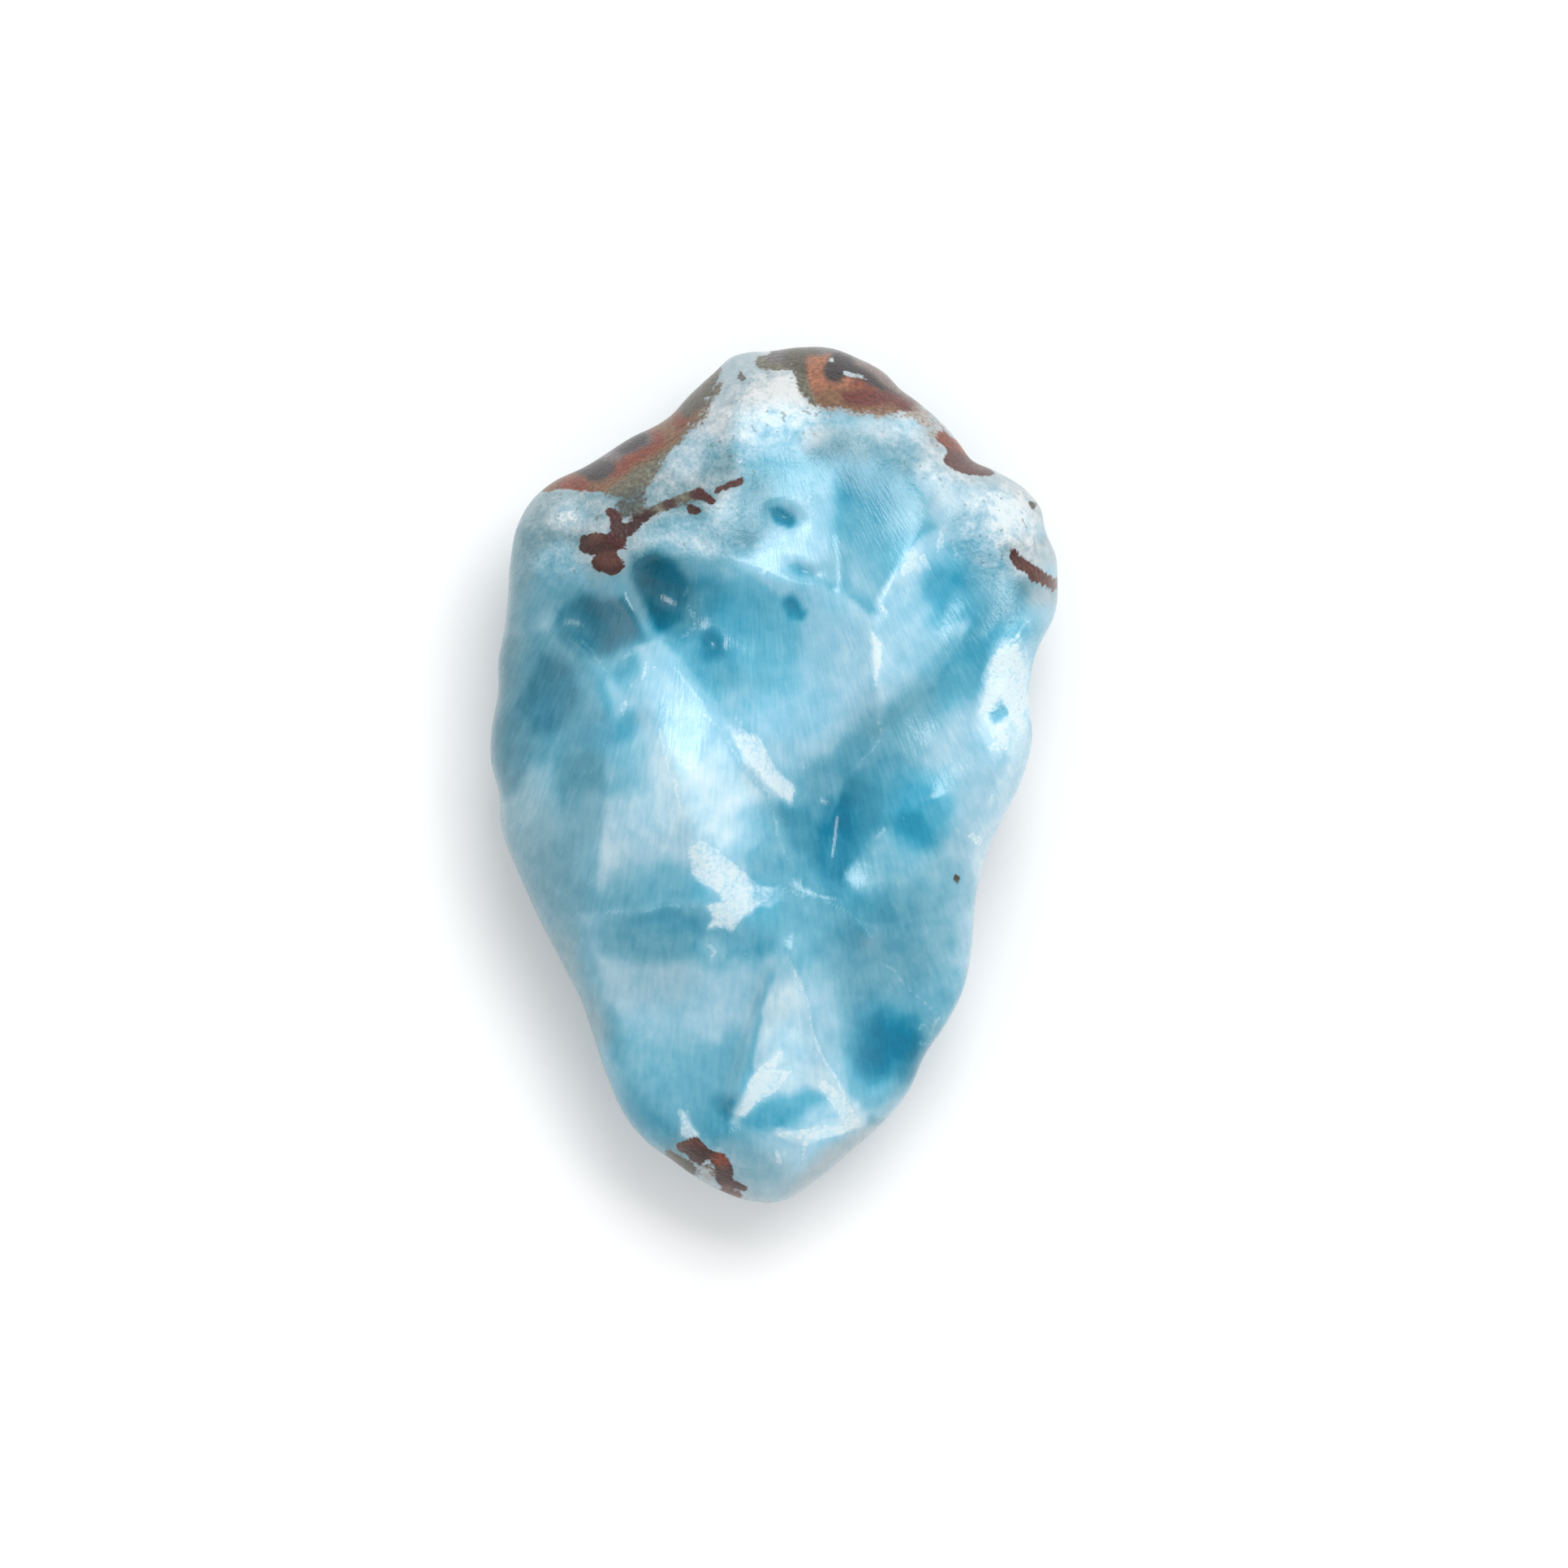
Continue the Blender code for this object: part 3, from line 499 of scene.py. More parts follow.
# %% Milk and grey strokes, in millimetres
# facet name, milk, edge softness, outline, strokes as (value, strength, softness, shape)
FACETS = [
    ("left flank", 0.42, 1.2, [
        (-17.5, 9.5), (-12.0, 9.0), (-10.4, 6.6), (-9.2, 3.5), (-9.4, -4.0), (-10.5, -8.5),
        (-11.3, -11.0), (-10.3, -14.0), (-10.0, -20.0), (-17.5, -20.0)], [
        # painted reflection: with the grey stroke along the rim, this stands for the pale surroundings
        # mirrored on the steep flank
        (0.30, 1.0, 1.2, [(-15.6, 9.0, 0.6), (-16.0, 5.0, 0.5), (-16.3, 2.0, 0.4), (-15.6, 0.6, 0.4)]),
        (0.52, 1.0, 2.0, [(-15.6, -1.6, 0.8), (-15.0, -4.4, 0.6)]),
        (0.17, 1.0, 1.5, [(-14.5, 6.1), (-12.9, 7.4), (-11.5, 6.6), (-11.2, 4.6), (-11.5, 2.9),
                          (-12.7, 2.2), (-14.3, 2.0), (-15.1, 3.6)]),
        # painted highlight: thin pale stripes along the rim
        (0.34, 0.9, 0.5, [(-13.6, 8.0, 0.35), (-14.7, 5.9, 0.3), (-15.3, 4.2, 0.2)]),
        (0.36, 0.9, 1.2, [(-13.8, 1.4, 0.4), (-12.8, 1.4, 0.4)]),
        (0.57, 1.0, 1.5, [(-13.8, -0.6, 0.4), (-14.0, -1.6, 0.8), (-13.7, -2.8, 0.6)]),
        (0.33, 1.0, 1.4, [(-11.1, 2.4, 0.4), (-11.1, 0.3, 0.5), (-11.4, -1.4, 0.3)]),
        (0.26, 0.8, 0.8, [(-15.2, 3.0, 0.3), (-15.0, 1.0, 0.5), (-15.3, -0.6, 0.2)]),
        (0.55, 0.9, 2.0, [(-10.4, -2.6, 0.5), (-10.2, -5.6, 0.6)]),
        (0.39, 0.9, 3.0, [(-13.6, -6.0, 1.0), (-12.6, -8.0, 0.7)]),
        (0.50, 0.8, 2.0, [(-11.0, -9.5, 0.8), (-11.0, -11.5, 0.4)]),
    ]),
    ("hump", 0.80, 0.5, [
        (-7.6, 7.6), (-7.0, 7.9), (-5.9, 6.6), (-4.5, 4.5), (-3.1, 2.4), (-1.9, 0.9), (-0.7, -0.7),
        (0.1, -2.2), (0.7, -4.6), (-0.6, -5.6), (-3.0, -6.6), (-7.0, -8.5), (-10.2, -8.5),
        (-10.0, -4.0), (-9.7, 0.0), (-9.4, 2.4), (-9.8, 5.6), (-8.6, 6.9)], [
        (0.57, 1.0, 1.6, [(-10.6, 5.4, 0.6), (-10.6, 3.4, 0.6)]),
        (0.66, 0.9, 1.2, [(-9.6, 5.2, 0.4), (-9.4, 3.6, 0.4)]),
        (0.42, 1.0, 1.8, [(-10.6, 1.6, 0.9), (-10.4, -0.6, 0.7)]),
        (0.68, 0.9, 1.2, [(-9.5, 5.8, 0.3), (-9.1, 4.4, 0.4), (-8.9, 3.7, 0.2)]),
        (0.44, 1.0, 0.9, [(-8.7, 6.6, 0.4), (-8.2, 5.4, 0.35)]),
        (0.40, 1.0, 0.9, [(-7.9, 3.3, 0.3), (-8.4, 2.7, 0.35), (-9.2, 1.8, 0.5)]),
        (0.66, 1.0, 1.0, [(-8.1, 1.2, 0.3), (-8.3, -0.4, 0.3)]),
        (0.56, 0.9, 1.0, [(-9.1, 0.8, 0.3), (-9.2, -0.6, 0.3)]),
        (0.70, 0.9, 1.4, [(-7.4, 4.8, 0.4), (-7.0, 3.2, 0.5)]),
        (0.92, 0.9, 2.6, [(-4.2, -0.4, 0.6), (-3.0, -2.0, 1.0), (-4.4, -2.6, 0.8)]),
        (0.86, 0.9, 1.6, [(-6.2, 0.2, 0.3), (-5.6, -1.6, 0.4), (-5.0, -3.2, 0.4)]),
        (0.76, 0.9, 1.4, [(-6.2, 5.6, 0.3), (-5.2, 3.8, 0.6), (-4.6, 2.0, 0.5)]),
        (0.76, 0.9, 2.4, [(-9.0, -3.2, 0.4), (-7.4, -4.3, 0.9), (-5.4, -4.4, 0.4)]),
        (0.84, 0.8, 1.4, [(-2.0, 0.1, 0.3), (-1.0, -1.6, 0.3)]),
        (0.70, 1.0, 1.8, [(-0.9, -2.6, 0.2), (-0.5, -4.2, 0.5), (-1.4, -4.6, 0.3)]),
        (0.56, 1.0, 1.6, [(-9.0, -6.6, 0.3), (-6.0, -6.3, 0.5), (-4.6, -6.5, 0.3)]),
        # painted shade, in part: darkens the top of the band below the hump foot, which faces away from
        # the lamp
        (0.46, 1.0, 1.6, [(-10.4, -8.2, 0.6), (-7.0, -7.9, 0.7), (-4.8, -7.8, 0.4)]),
    ]),
    ("central basin", 0.66, 0.35, [
        (-7.0, 7.9), (-6.6, 9.4), (-5.4, 11.4), (-3.4, 12.2), (-0.6, 11.2), (0.5, 10.4), (2.2, 11.2),
        (3.6, 10.6), (5.8, 9.0), (5.9, 6.0), (6.3, 2.4), (5.0, 0.8), (4.0, -1.0), (3.3, -2.6),
        (1.2, -1.9), (0.7, -4.6), (-0.3, -1.0), (-1.9, 0.9), (-3.1, 2.4), (-4.5, 4.5)], [
        (0.41, 1.0, 2.4, [(-2.4, 10.2, 0.6), (-3.2, 8.6, 1.4), (-2.8, 6.6, 1.2), (-2.4, 5.4, 0.4)]),
        (0.66, 0.9, 1.2, [(-1.0, 11.4, 0.3), (-2.4, 12.0, 0.3), (-5.0, 12.0, 0.1)]),
        (0.46, 0.9, 2.6, [(-0.4, 9.6, 0.8), (0.6, 8.0, 0.6)]),
        (0.55, 0.9, 2.2, [(0.0, 6.2, 0.8), (-0.6, 5.0, 0.4)]),
        (0.64, 0.9, 1.2, [(-2.2, 4.2, 0.3), (-1.2, 3.4, 0.4)]),
        (0.78, 0.8, 1.2, [(0.0, 1.8, 0.3), (0.8, 0.8, 0.2)]),
        (0.30, 0.9, 1.6, [(-5.2, 9.4, 0.8), (-4.0, 10.4, 0.6)]),
        (0.79, 0.9, 2.4, [(4.6, 8.6, 0.6), (4.6, 6.4, 0.8), (4.4, 4.4, 0.4)]),
        (0.70, 0.8, 1.6, [(2.6, 9.0, 0.4), (2.6, 6.6, 0.4)]),
        (0.70, 0.8, 2.0, [(0.4, 2.8, 0.6), (2.0, 1.9, 0.5), (1.2, 0.9, 0.4)]),
        (0.49, 1.0, 1.3, [(5.6, 2.6, 0.4), (4.8, 1.8, 0.4)]),
        (0.38, 1.0, 1.3, [(4.6, 1.2, 0.3), (4.0, 0.2, 0.4)]),
        (0.62, 0.9, 0.8, [(2.2, 0.2, 0.3), (1.6, 0.4, 0.3)]),
        (0.44, 1.0, 1.4, [(3.0, -0.2, 0.3), (2.2, -1.6, 0.5), (2.4, -2.6, 0.4)]),
        (0.56, 0.7, 1.0, [(0.9, -0.4, 0.3), (1.4, -1.2, 0.3)]),
    ]),
    ("right of the basin ridge", 0.70, 0.35, [
        (5.8, 9.2), (8.0, 9.0), (9.6, 8.6), (11.6, 8.9), (9.9, 6.4), (8.0, 4.3), (6.3, 2.3),
            (5.9, 5.4)], [
        # painted highlight: the glint along the basin ridge
        (0.88, 0.9, 1.0, [(6.0, 9.2, 0.2), (6.2, 7.0, 0.3), (6.1, 5.0, 0.2)]),
        (0.76, 0.9, 1.6, [(7.2, 8.6, 0.5), (7.2, 5.6, 0.5)]),
        (0.68, 0.8, 1.4, [(9.4, 8.4, 0.4), (8.8, 6.8, 0.4)]),
        (0.52, 1.0, 0.9, [(10.4, 7.4, 0.3), (8.6, 5.1, 0.3), (6.8, 3.1, 0.3)]),
    ]),
    ("right lobe", 0.60, 0.5, [
        (11.6, 9.2), (16.8, 9.8), (16.0, 3.0), (14.0, -3.0), (12.0, -10.0), (9.0, -8.5), (5.2, -8.9),
        (3.2, -6.9), (1.6, -6.6), (0.7, -4.6), (1.0, -2.0), (2.2, -4.0), (3.2, -2.8), (3.9, -0.6),
        (6.3, 2.3), (8.0, 4.1), (9.9, 6.1)], [
        (0.36, 1.0, 1.8, [(12.4, 8.6, 0.6), (11.4, 7.0, 0.7), (10.3, 5.6, 0.3)]),
        (0.42, 1.0, 1.4, [(11.0, 5.4, 0.5), (10.8, 4.2, 0.5), (10.2, 3.6, 0.3)]),
        (0.44, 1.0, 1.0, [(9.2, 5.2, 0.25), (7.4, 3.4, 0.25), (5.8, 1.8, 0.3), (4.9, 0.6, 0.4)]),
        (0.50, 0.9, 1.6, [(8.6, 3.0, 0.5), (7.0, 1.6, 0.5), (6.0, 0.6, 0.4)]),
        (0.76, 1.0, 1.8, [(11.4, 2.6, 0.7), (10.4, 1.4, 0.5)]),
        (0.72, 0.9, 1.6, [(11.8, 0.6, 0.6), (11.2, -1.6, 0.5), (11.3, -4.0, 0.6)]),
        # painted highlights, in part: the bright crumpled zone at the right edge, where the lamp glints
        # on small flakes
        (0.88, 1.0, 0.9, [(12.4, 6.4), (13.4, 7.8), (14.8, 7.4), (15.0, 5.0), (14.8, 2.2), (14.0, 1.0),
                          (12.6, 1.2), (11.8, 2.8), (12.2, 4.8)]),
        (0.52, 0.9, 1.0, [(14.9, 8.4, 0.3), (14.4, 8.9, 0.3)]),
        (0.42, 1.0, 1.8, [(6.6, 0.2, 0.4), (6.6, -1.8, 0.4)]),
        (0.40, 1.0, 1.8, [(8.0, -1.0, 0.4), (8.4, -2.4, 0.8)]),
        (0.27, 1.0, 1.4, [(7.8, -3.0, 0.4), (8.2, -4.2, 0.5)]),
        (0.29, 1.0, 1.4, [(4.9, -0.6, 0.3), (4.8, -3.0, 0.5), (4.6, -4.6, 0.3)]),
        (0.12, 1.0, 1.4, [(3.9, -1.6, 0.2), (3.5, -3.0, 0.5), (3.3, -4.6, 0.3)]),
        (0.20, 1.0, 1.3, [(3.4, -4.6, 0.5), (3.3, -6.0, 0.5)]),
        (0.26, 1.0, 1.2, [(1.1, -2.6, 0.3), (1.9, -4.2, 0.5), (2.3, -5.4, 0.3)]),
        (0.42, 0.9, 1.4, [(1.2, -5.4, 0.4), (2.4, -6.6, 0.3)]),
        (0.82, 0.9, 0.9, [(14.6, 1.4, 0.4), (13.6, -0.6, 0.4), (12.8, -3.0, 0.4), (12.1, -5.6, 0.3)]),
        (0.55, 0.9, 1.6, [(6.4, -4.8, 0.4), (8.6, -5.4, 0.6)]),
        (0.62, 0.8, 2.0, [(8.6, -6.2, 0.6), (10.0, -7.2, 0.6)]),
        (0.30, 0.9, 1.4, [(4.6, -7.6, 0.3), (6.4, -8.0, 0.7)]),
        (0.48, 0.9, 1.2, [(8.0, -7.6, 0.4), (8.8, -7.2, 0.4)]),
    ]),
    ("heart", 0.46, 0.9, [
        (-1.4, -3.4), (-0.6, -1.6), (0.4, -1.4), (1.4, -1.9), (2.4, -1.4), (3.4, -1.0), (3.4, -3.0),
            (3.0, -6.4), (0.8, -6.3),
        (-0.8, -5.6)], [
        (0.38, 1.0, 1.0, [(2.2, -1.8, 0.3), (2.5, -2.6, 0.4)]),
        (0.27, 1.0, 1.0, [(1.0, -2.3, 0.25), (1.6, -3.4, 0.35), (2.1, -4.6, 0.4), (2.4, -5.4, 0.3)]),
        (0.18, 1.0, 1.0, [(3.5, -2.2, 0.3), (3.3, -4.0, 0.4), (3.2, -5.4, 0.4)]),
        (0.64, 0.9, 1.2, [(-0.9, -2.4, 0.2), (-1.2, -3.6, 0.4)]),
        (0.54, 0.9, 0.8, [(0.0, -3.0, 0.2), (0.4, -4.8, 0.2)]),
        (0.44, 0.9, 1.2, [(1.2, -5.6, 0.4), (2.2, -6.4, 0.3)]),
    ]),
    ("lower right", 0.46, 0.45, [
        (0.9, -9.6), (0.3, -7.4), (1.0, -6.5), (3.2, -7.1), (4.4, -7.8), (5.2, -8.9), (9.0, -8.5),
            (12.6, -7.0),
        (12.0, -14.0), (8.0, -21.0), (4.6, -19.6), (3.0, -16.8), (2.1, -14.0), (1.6, -11.5)], [
        (0.50, 0.9, 1.6, [(1.2, -7.4, 0.4), (2.0, -8.6, 0.5)]),
        (0.56, 0.9, 1.2, [(0.9, -9.2, 0.2), (1.2, -10.4, 0.3)]),
        (0.36, 0.9, 2.0, [(5.4, -9.0, 0.6), (6.8, -9.2, 0.4)]),
        (0.60, 0.9, 2.0, [(10.4, -8.6, 0.7), (10.4, -11.2, 0.6)]),
        (0.72, 0.9, 1.0, [(11.5, -8.0, 0.4), (11.3, -10.6, 0.3)]),
        (0.68, 1.0, 1.5, [(2.3, -11.8, 0.2), (2.8, -14.2, 0.4), (3.3, -16.2, 0.3), (4.2, -18.2, 0.2)]),
        (0.30, 0.9, 1.8, [(5.5, -13.9, 0.5), (6.8, -14.2, 0.6), (7.4, -16.8, 0.4), (6.0, -17.4, 0.6),
            (5.1, -15.6, 0.4)]),
        (0.10, 1.0, 2.2, [(6.3, -15.7, 0.5), (7.0, -15.7, 0.6)]),
        (0.50, 0.8, 1.4, [(6.6, -11.6, 0.5), (7.6, -12.6, 0.4)]),
        (0.52, 0.8, 1.2, [(9.6, -13.0, 0.5), (9.4, -14.6, 0.3)]),
        (0.54, 0.9, 1.4, [(5.2, -19.2, 0.4), (6.8, -19.0, 0.5)]),
        (0.68, 0.9, 0.9, [(5.6, -20.4, 0.4), (7.0, -19.6, 0.3)]),
    ]),
    ("waist and lower left", 0.60, 0.6, [
        (-11.4, -8.0), (-7.0, -7.6), (-4.6, -7.2), (-3.4, -6.2), (-0.6, -5.6), (0.6, -4.8), (1.0, -6.5),
        (0.3, -7.4), (0.9, -9.6), (0.6, -10.6), (-0.6, -12.6), (-1.6, -16.0), (-2.2, -19.6),
        (-2.4, -22.0), (-6.4, -22.4), (-10.6, -20.0), (-9.9, -15.0), (-10.0, -11.6)], [
        (0.68, 1.0, 2.4, [(-8.6, -12.4, 1.2), (-6.0, -13.2, 1.6), (-3.2, -13.2, 1.0)]),
        (0.74, 0.8, 1.8, [(-2.6, -12.0, 0.4), (-2.9, -14.0, 0.5), (-3.1, -15.2, 0.3)]),
        (0.72, 0.8, 1.2, [(-9.6, -11.4, 0.3), (-9.0, -12.8, 0.4)]),
        # painted shade, in part: the next four strokes darken the band below the hump foot, which faces
        # away from the lamp
        (0.28, 1.0, 1.4, [(-8.2, -9.2, 0.3), (-6.4, -9.0, 0.5), (-4.9, -9.0, 0.4)]),
        (0.36, 1.0, 0.9, [(-3.0, -9.8, 0.2), (-1.6, -9.2, 0.4)]),
        (0.42, 0.9, 1.4, [(-9.6, -9.2, 0.4), (-7.0, -9.7, 0.4), (-5.4, -9.6, 0.3)]),
        (0.38, 0.9, 1.2, [(-1.8, -9.4, 0.4), (-0.6, -9.6, 0.4)]),
        (0.48, 0.9, 1.4, [(-3.4, -10.0, 0.4), (-0.6, -8.4, 0.4), (0.0, -8.0, 0.3)]),
        (0.48, 0.8, 1.4, [(0.0, -6.0, 0.5), (0.4, -5.2, 0.4)]),
        (0.45, 1.0, 1.4, [(-9.8, -14.6, 0.4), (-9.5, -17.0, 0.5), (-8.8, -19.0, 0.5)]),
        (0.54, 0.9, 2.4, [(-6.6, -18.2, 1.0), (-5.2, -18.6, 1.0), (-4.0, -17.6, 0.6)]),
        (0.36, 1.0, 1.6, [(-8.2, -19.4, 0.4), (-7.0, -20.6, 0.5), (-6.2, -21.6, 0.3)]),
        # painted shade, in part: a darker strip along the low step at the wedge's left side, which faces
        # away from the lamp
        (0.50, 0.9, 1.2, [(-2.0, -15.4, 0.2), (-2.4, -17.6, 0.3)]),
        (0.66, 0.8, 0.9, [(-0.9, -12.4, 0.2), (-1.2, -14.4, 0.2)]),
        (0.52, 0.8, 1.2, [(-3.9, -16.4, 0.2), (-4.2, -18.4, 0.3)]),
        (0.26, 1.0, 1.1, [(-2.7, -19.4, 0.4), (-3.0, -20.2, 0.4)]),
        (0.40, 0.9, 1.2, [(-3.9, -20.0, 0.4), (-3.2, -21.4, 0.5)]),
    ]),
    ("wedge", 0.80, 0.35, [
        (0.9, -10.2), (0.2, -11.4), (-0.5, -13.2), (-1.2, -16.0), (-1.8, -18.6), (-2.4, -20.4),
        (-0.4, -21.2), (3.6, -21.1), (5.2, -20.3), (4.4, -19.0), (3.0, -16.8), (2.2, -14.0),
            (1.6, -11.6)], [
        (0.64, 1.0, 1.0, [(0.8, -10.6, 0.3), (0.6, -11.6, 0.2)]),
        (0.86, 0.9, 1.4, [(0.9, -13.2, 0.4), (0.8, -15.0, 0.5)]),
        (0.76, 0.9, 1.0, [(2.0, -12.4, 0.1), (2.4, -14.6, 0.2), (2.8, -16.4, 0.2)]),
        (0.77, 0.9, 1.2, [(1.2, -16.2, 0.4), (1.4, -17.2, 0.4)]),
        (0.55, 1.0, 0.8, [(-1.9, -20.2), (0.0, -18.8), (1.8, -18.0), (3.0, -18.6), (2.6, -19.4),
            (1.4, -20.3), (-0.6, -20.8)]),
        (0.42, 1.0, 0.9, [(-1.4, -20.2, 0.2), (0.0, -20.1, 0.3), (1.2, -19.9, 0.1)]),
        (0.74, 0.8, 0.8, [(2.4, -19.8, 0.3), (1.4, -20.6, 0.2)]),
    ]),
    ("tip", 0.68, 0.5, [
        (-2.4, -21.2), (-0.4, -21.2), (3.6, -21.1), (5.2, -20.4), (7.0, -21.0), (2.0, -26.0),
            (-5.0, -26.0), (-4.6, -22.6)], [
        (0.50, 1.0, 1.4, [(-2.2, -21.8, 0.4), (-2.0, -23.2, 0.3)]),
        (0.57, 0.9, 1.2, [(-1.2, -22.6, 0.4), (-1.2, -24.0, 0.3)]),
        (0.74, 0.8, 1.2, [(0.2, -22.2, 0.2), (2.6, -22.0, 0.4)]),
        (0.64, 0.8, 1.0, [(0.0, -23.2, 0.3), (0.2, -24.2, 0.3)]),
    ]),
    ("ledge", 0.60, 0.7, [
        (-9.4, 10.8), (-8.2, 13.0), (-6.4, 13.4), (-3.4, 12.4), (-0.8, 11.4), (0.5, 10.2),
            (2.2, 11.0), (3.8, 11.0),
        (3.6, 14.0), (3.5, 18.6), (-1.0, 20.6), (-4.0, 24.5), (-15.0, 17.0), (-16.4, 8.0),
            (-13.0, 8.4)], [
        (0.58, 1.0, 0.8, [(-15.0, 14.4, 0.3), (-15.4, 11.6, 0.3)]),
        (0.38, 1.0, 1.4, [(-14.4, 13.6, 0.3), (-14.4, 10.0, 0.4), (-14.6, 9.0, 0.3)]),
        (0.34, 1.0, 1.2, [(-13.2, 13.8, 0.4), (-12.2, 14.0, 0.4)]),
        (0.50, 0.9, 1.4, [(-12.6, 12.4, 0.6), (-11.6, 11.6, 0.4)]),
        (0.40, 0.9, 1.2, [(-13.4, 11.0, 0.4), (-12.4, 10.6, 0.3)]),
        (0.44, 0.9, 1.2, [(-11.2, 10.6, 0.2), (-9.6, 10.8, 0.3)]),
        (0.80, 0.9, 1.0, [(-12.4, 15.0, 0.4), (-11.2, 14.9, 0.4)]),
        (0.62, 0.8, 1.4, [(-10.4, 14.8, 0.3), (-9.8, 15.4, 0.4)]),
        (0.56, 0.9, 1.6, [(-13.4, 15.9, 0.5), (-12.0, 16.2, 0.3)]),
        (0.46, 0.9, 1.4, [(-10.4, 16.0, 0.5), (-9.0, 16.6, 0.5)]),
        (0.32, 1.0, 1.6, [(-8.2, 16.6, 0.5), (-7.2, 18.0, 0.4), (-6.6, 19.2, 0.3)]),
        (0.50, 0.9, 1.4, [(-6.6, 16.7, 0.4), (-5.4, 16.8, 0.5)]),
        (0.64, 0.9, 1.8, [(-5.8, 18.4, 0.6), (-4.8, 19.0, 0.6)]),
        (0.38, 0.9, 1.2, [(-3.4, 17.6, 0.3), (-3.0, 18.6, 0.4)]),
        (0.70, 0.9, 1.0, [(-3.4, 20.0, 0.4), (-2.8, 21.0, 0.4)]),
        (0.50, 0.9, 1.0, [(-2.2, 19.6, 0.4), (-1.9, 20.2, 0.3)]),
        (0.58, 0.9, 1.2, [(-6.6, 14.2, 0.5), (-6.0, 14.0, 0.5)]),
        (0.68, 0.9, 1.2, [(-5.2, 14.1, 0.4), (-4.0, 14.2, 0.4)]),
        (0.34, 0.9, 1.4, [(-5.6, 15.1, 0.3), (-4.2, 15.4, 0.4)]),
        (0.74, 0.9, 1.1, [(-3.0, 15.0, 0.3), (-2.0, 15.5, 0.5)]),
        (0.46, 0.9, 1.2, [(-2.4, 13.6, 0.5), (-1.4, 14.4, 0.4), (-1.0, 15.8, 0.4)]),
        (0.44, 0.9, 1.6, [(-1.2, 17.2, 0.4), (0.0, 17.4, 0.4)]),
        (0.80, 0.9, 1.4, [(0.0, 12.6, 0.5), (0.8, 13.4, 0.5), (2.6, 14.0, 0.6), (2.6, 12.6, 0.4)]),
        (0.70, 0.8, 1.4, [(2.6, 15.6, 0.5), (2.6, 16.6, 0.5)]),
        (0.70, 0.9, 1.0, [(-1.2, 12.2, 0.3), (0.4, 11.2, 0.3)]),
        (0.57, 0.8, 1.0, [(0.6, 17.6, 0.3), (2.4, 17.4, 0.3)]),
        (0.62, 0.8, 1.0, [(3.2, 11.4, 0.3), (2.6, 10.6, 0.3)]),
    ]),
    ("teal hollows", 0.27, 0.7, [
        (-8.3, 12.9), (-6.8, 13.0), (-5.4, 12.2), (-4.6, 10.8), (-5.2, 9.0), (-6.6, 8.4), (-7.6, 7.6),
            (-9.4, 6.9),
        (-11.2, 6.8), (-12.6, 8.2), (-12.8, 9.6), (-11.4, 10.5), (-9.2, 10.3), (-8.4, 10.8)], [
        (0.05, 1.0, 2.0, [(-7.2, 11.8, 0.5), (-6.8, 10.4, 0.7), (-6.6, 9.6, 0.4)]),
        (0.10, 1.0, 2.0, [(-10.2, 9.8, 0.5), (-11.0, 8.6, 0.6), (-10.2, 8.2, 0.5)]),
        (0.14, 0.9, 1.4, [(-9.2, 9.2, 0.4), (-8.6, 8.8, 0.3)]),
        (0.50, 0.9, 0.6, [(-9.4, 11.0, 0.15), (-8.5, 10.6, 0.15), (-7.8, 9.9, 0.1), (-7.4, 9.0, 0.15),
            (-7.2, 8.2, 0.15)]),
        (0.24, 0.9, 1.2, [(-12.2, 8.6, 0.3), (-11.4, 7.2, 0.3)]),
    ]),
    ("top of the crust", 0.76, 1.4, [
        (-3.8, 20.6), (-2.0, 19.2), (0.0, 18.6), (2.4, 18.4), (4.0, 19.8), (9.0, 19.2), (9.2, 23.0),
            (3.0, 26.0), (-4.0, 26.0)], [
        (0.84, 0.9, 1.4, [(-0.8, 21.6, 0.4), (1.0, 20.8, 0.6)]),
        (0.95, 0.9, 1.0, [(0.4, 22.4, 0.3), (1.2, 22.1, 0.3)]),
        (0.64, 0.9, 1.6, [(-2.8, 22.6, 0.5), (-2.2, 24.0, 0.5)]),
        (0.66, 0.8, 1.2, [(0.0, 19.2, 0.4), (1.8, 19.0, 0.4)]),
        (0.54, 0.9, 1.2, [(3.6, 20.6, 0.4), (4.6, 21.2, 0.4)]),
        (0.74, 0.8, 1.2, [(5.8, 20.3, 0.5), (8.0, 19.9, 0.5)]),
        (0.56, 0.8, 1.0, [(6.0, 21.2, 0.3)]),
    ]),
    # painted shade, in part: the flute is darker at its upper left, where its wall turns from the lamp,
    # and lighter towards the right and bottom
    ("flute", 0.40, 1.5, [
        (2.0, 18.4), (4.0, 19.4), (8.0, 18.4), (9.0, 16.6), (9.2, 14.8), (8.0, 13.4), (6.9, 12.0),
            (5.8, 10.2),
        (4.3, 10.6), (3.7, 12.6), (3.5, 17.0)], [
        (0.32, 1.0, 1.8, [(3.4, 18.2, 0.4), (4.4, 17.6, 0.4), (5.2, 16.6, 0.7)]),
        (0.55, 0.9, 1.6, [(3.9, 14.6, 0.2), (4.0, 13.2, 0.3)]),
        (0.60, 1.0, 2.2, [(5.2, 12.0, 0.9), (5.2, 10.8, 0.6)]),
        (0.58, 0.9, 1.4, [(8.5, 15.4, 0.4), (7.7, 14.2, 0.5), (7.0, 13.0, 0.3)]),
        (0.78, 0.9, 1.2, [(4.0, 11.2, 0.2), (5.0, 10.0, 0.3), (6.0, 9.6, 0.3)]),
        (0.44, 0.7, 1.4, [(6.0, 14.2, 0.4), (5.8, 13.2, 0.3)]),
    ]),
    ("right crust", 0.72, 0.9, [
